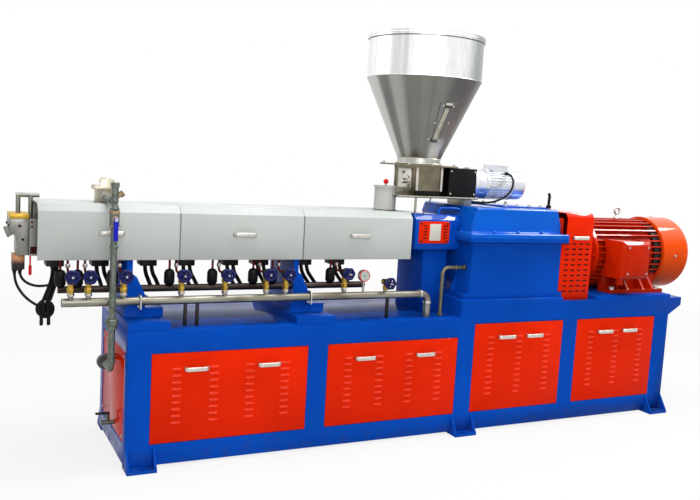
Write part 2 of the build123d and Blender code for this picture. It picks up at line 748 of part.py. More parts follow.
def barrel_support(offset):
    """Crossbeam and block on the deck, and a gusseted post through which the return manifold runs."""
    x0 = at(offset)
    x1 = x0 + SUPPORT_BLOCK_LENGTH
    beam_x0 = at(max(offset - SUPPORT_BEAM_OUT, 0))
    beam_top = LOW_DECK_Z + SUPPORT_BEAM_HEIGHT
    block_top = beam_top + SUPPORT_BLOCK_HEIGHT
    piece = block(beam_x0, x1, -BASE_HALF, BASE_HALF, LOW_DECK_Z, beam_top)
    piece += block(x0, x1, -SUPPORT_BLOCK_HALF, SUPPORT_BLOCK_HALF, beam_top, block_top)
    post_x0 = x0 + SUPPORT_POST_IN
    post_x1 = post_x0 + SUPPORT_POST
    foot_x1 = post_x1 + SUPPORT_GUSSET_REACH
    piece += block(post_x0, post_x1, -SUPPORT_POST_HALF, SUPPORT_POST_HALF, block_top, BARREL_LOW_Z)
    web = [
        (post_x1, block_top),
        (foot_x1, block_top),
        (foot_x1, block_top + SUPPORT_FOOT_HEIGHT),
        (post_x1 + SUPPORT_GUSSET_REACH / 3, block_top + SUPPORT_GUSSET_HEIGHT - SUPPORT_GUSSET),
        (post_x1, block_top + SUPPORT_GUSSET_HEIGHT),
    ]
    for side in SIDES:
        out_y = side * SUPPORT_POST_HALF
        in_y = out_y - side * SUPPORT_GUSSET
        piece += prism_y(web, min(out_y, in_y), max(out_y, in_y))
    piece += pipe_rest(foot_x1)
    return piece - rod_x(RETURN_RADIUS + RUN_GAP, post_x0, foot_x1, RETURN_Y, RETURN_Z)


def die_head():
    x0 = at(DIE_AT)
    x1 = at(ADAPTOR_AT)
    outline = [
        (x0, ADAPTOR_TOP_Z),
        (x0, ADAPTOR_TOP_Z - DIE_NOSE_DROP),
        (x0 + DIE_BACK_CUT, ADAPTOR_TOP_Z - DIE_NOSE_DROP - DIE_BACK_CUT),
        (x0 + DIE_BACK_CUT, ADAPTOR_LOW_Z),
        (x1, ADAPTOR_LOW_Z),
        (x1, ADAPTOR_TOP_Z),
    ]
    corner_z = ADAPTOR_TOP_Z - DIE_NOSE_DROP
    clamp = [
        (x0 - DIE_CLAMP_REACH, corner_z + DIE_CLAMP_TOP),
        (x0 + DIE_CLAMP_TOP, corner_z + 2 * DIE_CLAMP_TOP),
        (x0 + DIE_CLAMP_REACH, corner_z - DIE_CLAMP_REACH + DIE_CLAMP_TOP),
        (x0 - DIE_CLAMP_TOP / 2, corner_z - DIE_BACK_CUT),
    ]
    head = prism_y(outline, -DIE_HALF, DIE_HALF)
    return head + prism_y(clamp, DIE_CLAMP_Y - DIE_CLAMP_WIDTH, DIE_CLAMP_Y)


def die_adaptor():
    """Plate between barrel and die, with a bent tube that reaches over to the die's heater plate."""
    plate = block(at(ADAPTOR_AT), BARREL_X0, -ADAPTOR_HALF, ADAPTOR_HALF, ADAPTOR_LOW_Z, ADAPTOR_TOP_Z)
    x = at(ADAPTOR_AT) + SENSOR_IN
    die_low = ADAPTOR_TOP_Z + DIE_HEATER_SHEET
    stand = rod_z(SENSOR_RADIUS, x, 0, ADAPTOR_TOP_Z, SENSOR_TOP_Z)
    arm = rod_x(SENSOR_RADIUS, x - SENSOR_ARM, x + SENSOR_TAIL, 0, SENSOR_TOP_Z)
    drop = rod_z(SENSOR_RADIUS, x - SENSOR_ARM + SENSOR_RADIUS, 0, die_low, SENSOR_TOP_Z)
    return plate + stand + arm + drop


def die_heaters():
    """Heater plate on top of the die and terminal box below it."""
    x0 = at(DIE_AT)
    plate = block(x0, at(ADAPTOR_AT), -DIE_HALF, DIE_HALF, ADAPTOR_TOP_Z, ADAPTOR_TOP_Z + DIE_HEATER_SHEET)
    box_x0 = x0 + DIE_BOX_SET_IN
    box_x1 = box_x0 + DIE_BOX_LENGTH
    box_low = ADAPTOR_LOW_Z - DIE_BOX_DROP
    return group([plate, block(box_x0, box_x1, -DIE_BOX_HALF, DIE_BOX_HALF, box_low, ADAPTOR_LOW_Z)])


nodes["barrel"] = barrel()
nodes["barrel_supports"] = group([barrel_support(offset) for offset in SUPPORT_AT])
nodes["die_adaptor"] = die_adaptor()
nodes["die_head"] = die_head()
nodes["die_heaters"] = die_heaters()
nodes["heater_boxes"] = group(
    [
        block(
            at(offset) - HEATER_BOX_LENGTH / 2,
            at(offset) + HEATER_BOX_LENGTH / 2,
            -HEATER_BOX_HALF,
            HEATER_BOX_HALF,
            BARREL_LOW_Z - HEATER_BOX_DROP,
            BARREL_LOW_Z,
        )
        for offset in HEATER_BOXES_AT
    ]
)

# Barrel covers with their brackets and handles
VACUUM_X = at(VACUUM_AT)
VENT_X = at(VENT_AT)


def barrel_cover(index):
    x0 = cover_start(index)
    x1 = x0 + COVER_LENGTH - COVER_SEAM
    shell = hood(x0, x1, COVER_HALF, COVER_LOW_Z, COVER_SHOULDER_Z, COVER_TOP_Z, COVER_BEVEL, COVER_SHEET)
    if index == 0:
        side = VACUUM_SIDE / 2 + COVER_PORT_GAP
        shell -= block(VACUUM_X - side, VACUUM_X + side, -side, side, COVER_SHOULDER_Z, COVER_TOP_Z)
    if index == COVER_COUNT - 1:
        shell -= rod_z(VENT_RADIUS + COVER_PORT_GAP, VENT_X, 0, COVER_SHOULDER_Z, COVER_TOP_Z)
    return shell


def cover_handles():
    handles = []
    for index in range(COVER_COUNT):
        middle = cover_start(index) + (COVER_LENGTH - COVER_SEAM) / 2
        for side in SIDES:
            handles.append(bow_handle(middle, side * COVER_HALF, COVER_HANDLE_Z, side))
    return handles


for index in range(COVER_COUNT):
    nodes[f"barrel_cover_{index + 1}"] = barrel_cover(index)


# Vacuum port, vent and the standpipe
def vacuum_port():
    side = VACUUM_SIDE / 2
    lid = VACUUM_LID_SIDE / 2
    top = VACUUM_TOP_Z + VACUUM_LID
    port = block(VACUUM_X - side, VACUUM_X + side, -side, side, BARREL_TOP_Z, VACUUM_TOP_Z)
    port += block(VACUUM_X - lid, VACUUM_X + lid, -lid, lid, VACUUM_TOP_Z, top)
    clamp = VACUUM_CLAMP_WIDTH / 2
    clamp_x0 = VACUUM_X - lid + VACUUM_CLAMP_IN
    return port + block(clamp_x0, VACUUM_X + lid, -clamp, clamp, top, top + VACUUM_CLAMP_HEIGHT)


def vent_stack():
    """Capped round stack with a ball knob on its lid."""
    lid_radius = VENT_RADIUS + VENT_LID
    knob_z = VENT_TOP_Z + VENT_KNOB_NECK + VENT_KNOB_RADIUS
    stack = rod_z(VENT_RADIUS, VENT_X, 0, BARREL_TOP_Z, VENT_TOP_Z - VENT_LID)
    stack += rod_z(lid_radius, VENT_X, 0, VENT_TOP_Z - VENT_LID, VENT_TOP_Z)
    stack += rod_z(VENT_KNOB_RADIUS / 2, VENT_X, 0, VENT_TOP_Z, knob_z)
    return stack + Pos(VENT_X, 0, knob_z) * Sphere(VENT_KNOB_RADIUS)


def standpipe():
    """Pipe from the vacuum port, down past the cover and into the base's left end."""
    panel_x = at(0) + PANEL_SUNK
    route = [
        (VACUUM_X, -VACUUM_SIDE / 2, PIPE_TOP_Z),
        (VACUUM_X, PIPE_Y, PIPE_TOP_Z),
        (VACUUM_X, PIPE_Y, PIPE_FOOT_Z),
        (VACUUM_X, PIPE_FOOT_Y, PIPE_FOOT_Z),
        (panel_x, PIPE_FOOT_Y, PIPE_FOOT_Z),
    ]
    pipe = bent_tube(route, PIPE_RADIUS, PIPE_BEND)
    pipe += rod_z(UNION_RADIUS, VACUUM_X, PIPE_Y, UNION_Z - UNION_HEIGHT / 2, UNION_Z + UNION_HEIGHT / 2)
    pipe += rod_z(BALL_RADIUS, VACUUM_X, PIPE_Y, BALL_Z - BALL_HEIGHT / 2, BALL_Z + BALL_HEIGHT / 2)
    collar_y = COLLAR_Y - COLLAR_LENGTH / 2
    pipe += rod_y(COLLAR_RADIUS, VACUUM_X, collar_y, collar_y + COLLAR_LENGTH, PIPE_FOOT_Z)
    boss_end = PIPE_Y - PIPE_RADIUS - STEM_BOSS_LENGTH
    pipe += rod_y(STEM_BOSS_RADIUS, VACUUM_X, boss_end, PIPE_Y, BALL_Z)
    return pipe + rod_y(PIN_RADIUS, VACUUM_X, boss_end - LEVER_SHEET - RUN_GAP, PIPE_Y, BALL_Z)


def valve_lever():
    """Flat lever that hangs from the ball valve's stem."""
    back_y = PIPE_Y - PIPE_RADIUS - STEM_BOSS_LENGTH - RUN_GAP
    front_y = back_y - LEVER_SHEET
    eye = rod_y(LEVER_WIDTH / 2, VACUUM_X, front_y, back_y, BALL_Z)
    blade = block(
        VACUUM_X - LEVER_WIDTH / 2, VACUUM_X + LEVER_WIDTH / 2, front_y, back_y, BALL_Z - LEVER_LENGTH, BALL_Z
    )
    return eye + blade - rod_y(PIN_RADIUS + RUN_GAP, VACUUM_X, front_y, back_y, BALL_Z)


def drain_tap():
    face_x = at(0) + PANEL_SUNK
    middle_x = face_x - TAP_LENGTH / 2
    neck_top = TAP_Z + TAP_NECK_HEIGHT
    tap = rod_x(TAP_RADIUS, face_x - TAP_LENGTH, face_x, TAP_Y, TAP_Z)
    tap += rod_z(TAP_RADIUS * 0.8, middle_x, TAP_Y, TAP_Z, neck_top)
    return tap + rod_z(PIN_RADIUS, middle_x, TAP_Y, neck_top, neck_top + RUN_GAP + TAP_HANDLE_SHEET)


def drain_tap_handle():
    middle_x = at(0) + PANEL_SUNK - TAP_LENGTH / 2
    low_z = TAP_Z + TAP_NECK_HEIGHT + RUN_GAP
    top_z = low_z + TAP_HANDLE_SHEET
    half = TAP_HANDLE_WIDTH / 2
    grip = rod_z(half, middle_x, TAP_Y, low_z, top_z)
    grip += block(middle_x - TAP_HANDLE_LENGTH, middle_x, TAP_Y - half, TAP_Y + half, low_z, top_z)
    return grip - rod_z(PIN_RADIUS + RUN_GAP, middle_x, TAP_Y, low_z, top_z)


nodes["vacuum_port"] = vacuum_port()
nodes["vent_stack"] = vent_stack()
nodes["standpipe"] = standpipe()
nodes["valve_lever"] = valve_lever()
nodes["drain_tap"] = drain_tap()
nodes["drain_tap_handle"] = drain_tap_handle()

# Cooling-water circuit
SADDLE_TOP_Z = MANIFOLD_Z + SADDLE_HEIGHT
VALVE_Z = SADDLE_TOP_Z + BRASS_HEIGHT + VALVE_RADIUS
LOW_VALVE_Z = SADDLE_TOP_Z + LOW_BRASS_HEIGHT + VALVE_RADIUS
RETURN_SADDLE_TOP_Z = RETURN_Z + COIL_SADDLE
VALVE_FRONT_Y = MANIFOLD_Y - VALVE_LENGTH / 2
VALVE_BACK_Y = MANIFOLD_Y + VALVE_LENGTH / 2
BONNET_FRONT_Y = VALVE_FRONT_Y - BONNET_LENGTH


def cooling_manifold():
    end_x = at(MANIFOLD_RIGHT_AT)
    route = [
        (at(MANIFOLD_LEFT_AT), MANIFOLD_Y, MANIFOLD_Z),
        (end_x, MANIFOLD_Y, MANIFOLD_Z),
        (end_x, MANIFOLD_Y, LOW_DECK_Z),
    ]
    pipe = bent_tube(route, MANIFOLD_RADIUS, MANIFOLD_BEND)
    for offset in STATIONS_AT + (LOW_STATION_AT,):
        pipe += rod_z(SADDLE_RADIUS, at(offset), MANIFOLD_Y, MANIFOLD_Z, SADDLE_TOP_Z)
    return pipe


def return_manifold():
    pipe = rod_x(RETURN_RADIUS, at(RETURN_LEFT_AT) - SADDLE_HEIGHT, at(RETURN_RIGHT_AT), RETURN_Y, RETURN_Z)
    for offset in STATIONS_AT:
        pipe += rod_z(SADDLE_RADIUS, at(offset) + COIL_OFFSET, RETURN_Y, RETURN_Z, RETURN_SADDLE_TOP_Z)
    return pipe


def valve_body(offset, valve_z):
    """Brass fitting on the manifold, and its valve with bonnet and stem towards the operator."""
    x = at(offset)
    body = rod_y(VALVE_RADIUS, x, VALVE_FRONT_Y, VALVE_BACK_Y, valve_z)
    body += rod_z(BRASS_RADIUS, x, MANIFOLD_Y, SADDLE_TOP_Z, valve_z)
    body += rod_y(BONNET_RADIUS, x, BONNET_FRONT_Y, VALVE_FRONT_Y, valve_z)
    return body + rod_y(PIN_RADIUS, x, BONNET_FRONT_Y - RUN_GAP - WHEEL_HUB_LENGTH, BONNET_FRONT_Y, valve_z)


def handwheel(offset, valve_z):
    """Spoked wheel that turns on the valve's stem."""
    x = at(offset)
    back_y = BONNET_FRONT_Y - RUN_GAP
    front_y = back_y - WHEEL_HUB_LENGTH
    rim_y = (back_y + front_y) / 2
    ring = rod_y(WHEEL_RADIUS, x, rim_y - WHEEL_RIM, rim_y + WHEEL_RIM, valve_z)
    ring -= rod_y(WHEEL_RADIUS - 2 * WHEEL_RIM, x, front_y, back_y, valve_z)
    spoke = Box(WHEEL_RADIUS - WHEEL_RIM, WHEEL_SPOKE, WHEEL_SPOKE)
    for step in range(WHEEL_SPOKES):
        turn = Pos(x, rim_y, valve_z) * Rot(0, step * 360 / WHEEL_SPOKES, 0)
        ring += turn * Pos((WHEEL_RADIUS - WHEEL_RIM) / 2, 0, 0) * spoke
    ring += rod_y(WHEEL_HUB_RADIUS, x, front_y, back_y, valve_z)
    return ring - rod_y(PIN_RADIUS + RUN_GAP, x, front_y, back_y, valve_z)


def cooling_tubes():
    """Feed tube from each valve and return tube from each coil, up to the barrel's side."""
    tubes = []
    entry_z = SCREW_Z - TUBE_ENTRY_DROP
    for offset in STATIONS_AT:
        x = at(offset)
        entry = (x, -BARREL_HALF, entry_z)
        feed = [(x, VALVE_BACK_Y, VALVE_Z), (x, RETURN_Y, VALVE_Z), (x, RETURN_Y, entry_z), entry]
        tubes.append(bent_tube(feed, TUBE_RADIUS, TUBE_BEND))
        x += COIL_OFFSET
        coil_top = RETURN_SADDLE_TOP_Z + COIL_HEIGHT
        back = [(x, RETURN_Y, coil_top), (x, RETURN_Y, entry_z), (x, -BARREL_HALF, entry_z)]
        tubes.append(bent_tube(back, TUBE_RADIUS, TUBE_BEND))
    return group(tubes)


def pressure_gauge():
    x = at(GAUGE_AT)
    dial = rod_y(GAUGE_RADIUS, x, MANIFOLD_Y - GAUGE_DEPTH / 2, MANIFOLD_Y + GAUGE_DEPTH / 2, GAUGE_Z)
    return dial + rod_z(GAUGE_STEM, x, MANIFOLD_Y, MANIFOLD_Z + MANIFOLD_RADIUS, GAUGE_Z)


nodes["manifolds"] = group([cooling_manifold(), return_manifold()])
valve_places = [(offset, VALVE_Z) for offset in STATIONS_AT] + [(LOW_STATION_AT, LOW_VALVE_Z)]
nodes["valve_bodies"] = group([valve_body(offset, valve_z) for offset, valve_z in valve_places])
for index, (offset, valve_z) in enumerate(valve_places, 1):
    nodes[f"handwheel_{index}"] = handwheel(offset, valve_z)
nodes["solenoid_coils"] = group(
    [
        block(
            at(offset) + COIL_OFFSET - COIL_SIDE / 2,
            at(offset) + COIL_OFFSET + COIL_SIDE / 2,
            RETURN_Y - COIL_DEPTH / 2,
            RETURN_Y + COIL_DEPTH / 2,
            RETURN_SADDLE_TOP_Z,
            RETURN_SADDLE_TOP_Z + COIL_HEIGHT,
        )
        for offset in STATIONS_AT
    ]
)
nodes["cooling_tubes"] = cooling_tubes()
nodes["pressure_gauge"] = pressure_gauge()

# Coupling guard and motor
MOTOR_X0 = at(MOTOR_AT)
FRAME_X0 = MOTOR_X0 + MOTOR_BELL
FRAME_X1 = FRAME_X0 + MOTOR_FRAME


def coupling_guard():
    x0 = GEAR_X1 + GUARD_FIT
    x1 = at(GUARD_RIGHT_AT)
    shell = hood(x0, x1, GUARD_HALF, HIGH_DECK_Z, GUARD_SHOULDER_Z, GUARD_TOP_Z, GUARD_BEVEL, GUARD_SHEET)
    lip_x = GEAR_X1 + GEAR_LIP + GUARD_FIT
    foot_top = BED_TOP_Z + GEAR_FOOT + GUARD_FIT
    lip_low = GEAR_SPLIT_Z - GEAR_FLANGE - GUARD_FIT
    shell -= block(x0, lip_x, -GUARD_HALF, GUARD_HALF, HIGH_DECK_Z, foot_top)
    shell -= block(x0, lip_x, -GUARD_HALF, GUARD_HALF, lip_low, GUARD_TOP_Z)
    outline = hood_outline(GUARD_HALF, HIGH_DECK_Z, GUARD_SHOULDER_Z, GUARD_TOP_Z, GUARD_BEVEL)
    wall = prism_x(outline, x1 - GUARD_SHEET, x1)
    shaft_gap = rod_x(MOTOR_SHAFT_RADIUS + GUARD_SHAFT_GAP, x1 - GUARD_SHEET, x1, 0, MOTOR_Z)
    return shell + wall - shaft_gap


def motor_frame():
    """Finned cylinder on two cast feet."""
    core = rod_x(MOTOR_CORE_RADIUS, FRAME_X0, FRAME_X1, 0, MOTOR_Z)
    middle = (FRAME_X0 + FRAME_X1) / 2
    fin = Pos(0, 0, (MOTOR_CORE_RADIUS + MOTOR_FIN_RADIUS) / 2 - MOTOR_FIN) * Box(
        MOTOR_FRAME, MOTOR_FIN, MOTOR_FIN_RADIUS - MOTOR_CORE_RADIUS + 2 * MOTOR_FIN
    )
    turns = [Rot((step + 0.5) * 360 / MOTOR_FINS, 0, 0) for step in range(MOTOR_FINS)]
    body = core + [Pos(middle, 0, MOTOR_Z) * turn * fin for turn in turns]
    foot_x0 = at(MOTOR_FOOT_AT)
    foot_x1 = foot_x0 + MOTOR_FOOT_LENGTH
    for side in SIDES:
        out_y = side * MOTOR_FOOT_HALF
        in_y = out_y - side * MOTOR_FOOT_WIDTH
        low, high = min(out_y, in_y), max(out_y, in_y)
        body += block(foot_x0, foot_x1, low, high, BED_TOP_Z, BED_TOP_Z + MOTOR_FOOT_SHEET)
        web_y = in_y + side * MOTOR_WEB
        web_low, web_high = min(in_y, web_y), max(in_y, web_y)
        body += block(foot_x0, foot_x1, web_low, web_high, BED_TOP_Z, MOTOR_Z - MOTOR_CORE_RADIUS / 2)
    return body


def motor_end_bell():
    shaft_x0 = at(GUARD_RIGHT_AT) - MOTOR_BELL
    profile = [
        (0, shaft_x0),
        (MOTOR_SHAFT_RADIUS, shaft_x0),
        (MOTOR_SHAFT_RADIUS, MOTOR_X0 - MOTOR_BELL / 2),
        (MOTOR_CORE_RADIUS / 2, MOTOR_X0 - MOTOR_BELL / 2),
        (MOTOR_CORE_RADIUS / 2, MOTOR_X0),
        (MOTOR_CORE_RADIUS, MOTOR_X0 + MOTOR_BELL / 2),
        (MOTOR_FIN_RADIUS, MOTOR_X0 + MOTOR_BELL / 2),
        (MOTOR_FIN_RADIUS, FRAME_X0),
        (0, FRAME_X0),
    ]
    return turned_x(profile, 0, 0, MOTOR_Z)


def motor_fan_cowl():
    cowl = rod_x(MOTOR_COWL_RADIUS, FRAME_X1, FRAME_X1 + MOTOR_COWL, 0, MOTOR_Z)
    return fillet(cowl.edges().sort_by(Axis.X)[-1], MOTOR_COWL_ROUND)


def motor_terminal_box():
    x0 = at(TERMINAL_AT)
    box = block(x0, x0 + TERMINAL_LENGTH, TERMINAL_FRONT_Y, TERMINAL_BED_Y, TERMINAL_LOW_Z, TERMINAL_TOP_Z)
    box = chamfer(box.faces().sort_by(Axis.Y)[0].edges(), TERMINAL_BEVEL)
    box -= rod_x(MOTOR_FIN_RADIUS + RUN_GAP, x0, x0 + TERMINAL_LENGTH, 0, MOTOR_Z)
    gland_x = x0 + 2 * TERMINAL_GLAND_RADIUS
    gland_y = TERMINAL_FRONT_Y + 3 * TERMINAL_GLAND_RADIUS
    return box + rod_z(
        TERMINAL_GLAND_RADIUS, gland_x, gland_y, TERMINAL_LOW_Z - TERMINAL_GLAND_LENGTH, TERMINAL_LOW_Z
    )


nodes["coupling_guard"] = coupling_guard()
guard_middle = (at(GUARD_RIGHT_AT) + GEAR_X1 + GEAR_LIP) / 2
guard_handles = [bow_handle(guard_middle, side * GUARD_HALF, GUARD_HANDLE_Z, side) for side in SIDES]
nodes["bow_handles"] = group(panel_handles() + cover_handles() + guard_handles)
nodes["motor_frame"] = motor_frame()
nodes["motor_end_bell"] = motor_end_bell()
nodes["motor_fan_cowl"] = motor_fan_cowl()
nodes["motor_terminal_box"] = motor_terminal_box()

# Feeder and hopper
FEEDER_PLATE_TOP_Z = FEEDER_PLATE_LOW_Z + FEEDER_PLATE_SHEET
FEEDER_BOX_X0 = at(FEEDER_BOX_AT)
FEEDER_BOX_X1 = FEEDER_BOX_X0 + FEEDER_BOX_LENGTH
FEEDER_GUARD_X0 = FEEDER_BOX_X1 + FEEDER_NECK
FEEDER_GUARD_X1 = FEEDER_GUARD_X0 + FEEDER_GUARD_LENGTH
HOPPER_X = (FEEDER_BOX_X0 + FEEDER_BOX_X1) / 2
HOPPER_LOW_Z = HOPPER_PLATE_LOW_Z + HOPPER_PLATE_SHEET
HOPPER_CONE_TOP_Z = HOPPER_LOW_Z + HOPPER_NECK_HEIGHT + HOPPER_CONE_HEIGHT
HOPPER_WALL_TOP_Z = HOPPER_CONE_TOP_Z + HOPPER_WALL_HEIGHT


def feeder_stand():
    """Plate between two rails, on posts over the lantern and a pad over the gearbox."""
    x0 = at(FEEDER_PLATE_AT)
    x1 = FEEDER_GUARD_X1
    plate_x0 = LANTERN_X0 - FEEDER_POST_IN / 2
    stand = block(plate_x0, x1, -FEEDER_PLATE_HALF, FEEDER_PLATE_HALF, FEEDER_PLATE_LOW_Z, FEEDER_PLATE_TOP_Z)
    post_x = LANTERN_X0 + FEEDER_POST_IN
    for side in SIDES:
        out_y = side * FEEDER_PLATE_HALF
        in_y = out_y - side * FEEDER_RAIL
        rail_low, rail_high = min(out_y, in_y), max(out_y, in_y)
        stand += block(x0, x1, rail_low, rail_high, FEEDER_PLATE_LOW_Z, FEEDER_PLATE_TOP_Z)
        post_y = side * (LANTERN_HALF - LANTERN_BEVEL - FEEDER_POST_IN)
        stand += rod_z(FEEDER_POST_RADIUS, post_x, post_y, LANTERN_TOP_Z, FEEDER_PLATE_LOW_Z)
    pad_x0 = GEAR_X0 + 2 * GEAR_COVER_SLOPE
    pad_x1 = pad_x0 + FEEDER_PAD_LENGTH
    return stand + block(pad_x0, pad_x1, -FEEDER_PAD_HALF, FEEDER_PAD_HALF, GEAR_TOP_Z, FEEDER_PLATE_LOW_Z)


def feeder_box():
    box_low = FEEDER_PLATE_TOP_Z + FEEDER_SADDLE
    box = block(FEEDER_BOX_X0, FEEDER_BOX_X1, -FEEDER_BOX_HALF, FEEDER_BOX_HALF, box_low, HOPPER_PLATE_LOW_Z)
    saddle_half = FEEDER_BOX_HALF - FEEDER_SADDLE
    box += block(FEEDER_BOX_X0, FEEDER_BOX_X1, -saddle_half, saddle_half, FEEDER_PLATE_TOP_Z, box_low)
    box += rod_x(FEEDER_NECK_RADIUS, FEEDER_BOX_X1, FEEDER_GUARD_X0, 0, FEEDER_MOTOR_Z)
    half = HOPPER_PLATE_HALF
    box += block(HOPPER_X - half, HOPPER_X + half, -half, half, HOPPER_PLATE_LOW_Z, HOPPER_LOW_Z)
    box -= rod_z(HOPPER_NECK_RADIUS - HOPPER_SHEET, HOPPER_X, 0, HOPPER_PLATE_LOW_Z, HOPPER_LOW_Z)
    return box - rod_z(FEEDER_THROAT_RADIUS, HOPPER_X, 0, FEEDER_MOTOR_Z, HOPPER_PLATE_LOW_Z)


def feeder_motor():
    x0 = FEEDER_GUARD_X1
    x1 = x0 + FEEDER_FLANGE
    x2 = x1 + FEEDER_MOTOR_LENGTH
    x3 = x2 + FEEDER_FAN_LENGTH
    body = rod_x(FEEDER_FLANGE_RADIUS, x0, x1, 0, FEEDER_MOTOR_Z)
    body += rod_x(FEEDER_MOTOR_RADIUS, x1, x2, 0, FEEDER_MOTOR_Z)
    cowl = rod_x(FEEDER_FAN_RADIUS, x2, x3, 0, FEEDER_MOTOR_Z)
    body += fillet(cowl.edges().sort_by(Axis.X)[-1], FEEDER_FAN_RADIUS / 5)
    half = FEEDER_TERMINAL_SIDE / 2
    middle = x1 + FEEDER_TERMINAL_AT
    return body + block(middle - half, middle + half, -half, half, FEEDER_MOTOR_Z, FEEDER_TERMINAL_TOP_Z)


def hopper_shell():
    """Thin cone and cylinder, open at the top and at the neck."""
    cone_low = HOPPER_LOW_Z + HOPPER_NECK_HEIGHT
    inner_neck = HOPPER_NECK_RADIUS - HOPPER_SHEET
    inner_wall = HOPPER_RADIUS - HOPPER_SHEET
    profile = [
        (HOPPER_NECK_RADIUS, HOPPER_LOW_Z),
        (HOPPER_NECK_RADIUS, cone_low),
        (HOPPER_RADIUS, HOPPER_CONE_TOP_Z),
        (HOPPER_RADIUS, HOPPER_WALL_TOP_Z),
        (inner_wall, HOPPER_WALL_TOP_Z),
        (inner_wall, HOPPER_CONE_TOP_Z),
        (inner_neck, cone_low),
        (inner_neck, HOPPER_LOW_Z),
    ]
    return turned(profile, HOPPER_X, 0, 0)


def hopper_lid():
    """Lid with a rim a little wider than the wall and a low dome."""
    rim_radius = HOPPER_RADIUS + HOPPER_LID_LIP
    rim_top = HOPPER_WALL_TOP_Z + HOPPER_LID
    profile = [
        (0, HOPPER_WALL_TOP_Z),
        (rim_radius, HOPPER_WALL_TOP_Z),
        (rim_radius, rim_top),
        (0, rim_top + HOPPER_LID_DOME),
    ]
    return turned(profile, HOPPER_X, 0, 0)


def hopper_window():
    """Sight-glass strip that lies on the cone."""
    cone_low = HOPPER_LOW_Z + HOPPER_NECK_HEIGHT
    rise = HOPPER_CONE_TOP_Z - cone_low
    spread = HOPPER_RADIUS - HOPPER_NECK_RADIUS
    low_h = cone_low + WINDOW_FOOT_RISE
    top_h = HOPPER_CONE_TOP_Z - WINDOW_TOP_DROP
    low_r = HOPPER_NECK_RADIUS + spread * (low_h - cone_low) / rise
    top_r = HOPPER_NECK_RADIUS + spread * (top_h - cone_low) / rise
    profile = [(low_r, low_h), (low_r + WINDOW_SHEET, low_h), (top_r + WINDOW_SHEET, top_h), (top_r, top_h)]
    half_turn = WINDOW_WIDTH / (low_r + top_r) * 180 / pi
    outline = make_face(Polyline(*[(r, 0, h) for r, h in profile], close=True).edges())
    strip = revolve(outline, Axis.Z, 2 * half_turn)
    return Pos(HOPPER_X, 0, 0) * Rot(0, 0, -90 + WINDOW_TURN - half_turn) * strip


nodes["feeder_stand"] = feeder_stand()
nodes["feeder_box"] = feeder_box()
nodes["feeder_guard"] = block(
    FEEDER_GUARD_X0,
    FEEDER_GUARD_X1,
    -FEEDER_GUARD_HALF,
    FEEDER_GUARD_HALF,
    FEEDER_PLATE_TOP_Z,
    HOPPER_PLATE_LOW_Z,
)
nodes["feeder_motor"] = feeder_motor()
nodes["hopper_shell"] = hopper_shell()
nodes["hopper_lid"] = hopper_lid()
nodes["hopper_window"] = hopper_window()

# Loose cables
DIE_BOX_X = at(DIE_AT) + DIE_BOX_SET_IN + DIE_BOX_LENGTH / 2
DIE_BOX_LOW_Z = ADAPTOR_LOW_Z - DIE_BOX_DROP
TRUNK_X = at(HEATER_BOXES_AT[0])
TRUNK_TOP_Z = BARREL_LOW_Z - HEATER_BOX_DROP
TERMINAL_X = FEEDER_GUARD_X1 + FEEDER_FLANGE + FEEDER_TERMINAL_AT + FEEDER_TERMINAL_SIDE / 2

# Routes as (x, y, z) steps from where each cable leaves its box
LEAD_1_ROUTE = [
    (-16, -12, 0),
    (-16, -12, -32),
    (-10, -16, -68),
    (8, -22, -106),
    (36, -28, -142),
    (68, -32, -168),
    (98, -34, -186),
]
LEAD_2_ROUTE = [
    (10, 6, 0),
    (10, 6, -30),
    (24, 1, -58),
    (52, -7, -78),
    (86, -15, -87),
    (120, -22, -86),
    (150, -26, -80),
]
TRUNK_ROUTE = [(0, -20, 0), (0, -20, -40), (-8, -24, -80), (-24, -29, -126), (-42, -34, -172)]
FEEDER_CABLE_ROUTE = [
    (-12, -55, 1546),
    (-12, -84, 1546),
    (-12, -116, 1534),
    (-14, -141, 1506),
    (-24, -152, 1470),
    (-48, -156, 1434),
    (-84, -156, 1404),
    (-128, -146, 1381),
    (-170, -124, 1367),
    (-208, -96, 1363),
    (-244, -74, 1365),
    (-281, -74, 1365),
]


def cord_tube(points, radius):
    """Tube along a cable's route, with each arc as large as its two runs allow."""
    corners = [Vector(*point) for point in points]
    radii = []
    for before, corner, after in zip(corners, corners[1:], corners[2:]):
        turn = (corner - before).get_angle(after - corner)
        run = min((corner - before).length, (after - corner).length)
        radii.append(0.45 * run / tan(turn * pi / 360))
    print("cord radii", [round(r) for r in radii])
    path = FilletPolyline(*points, radius=radii)
    tube = sweep(Plane(origin=path @ 0, z_dir=path % 0) * Circle(radius), path)
    return tube


def cable_bunch():
    """Tied bunch of spare cable with two plugs hanging out of it."""
    end_x, end_y, end_z = TRUNK_ROUTE[-1]
    x = TRUNK_X + end_x
    top_z = TRUNK_TOP_Z + end_z + BUNCH_SINK
    low_z = top_z - BUNCH_HEIGHT
    profile = [
        (0, low_z),
        (BUNCH_END_RADIUS, low_z),
        (BUNCH_RADIUS, low_z + BUNCH_HEIGHT / 3),
        (BUNCH_RADIUS, top_z - BUNCH_HEIGHT / 3),
        (BUNCH_END_RADIUS, top_z),
        (0, top_z),
    ]
    bunch = turned(profile, x, end_y, 0)
    for step in (-PLUG_PITCH / 2, PLUG_PITCH / 2):
        bunch += rod_z(PLUG_RADIUS, x + step, end_y, low_z - PLUG_LENGTH, low_z + BUNCH_SINK)
    return bunch


def route_from(x, z, route):
    return [(x + step_x, y, z + step_z) for step_x, y, step_z in route]


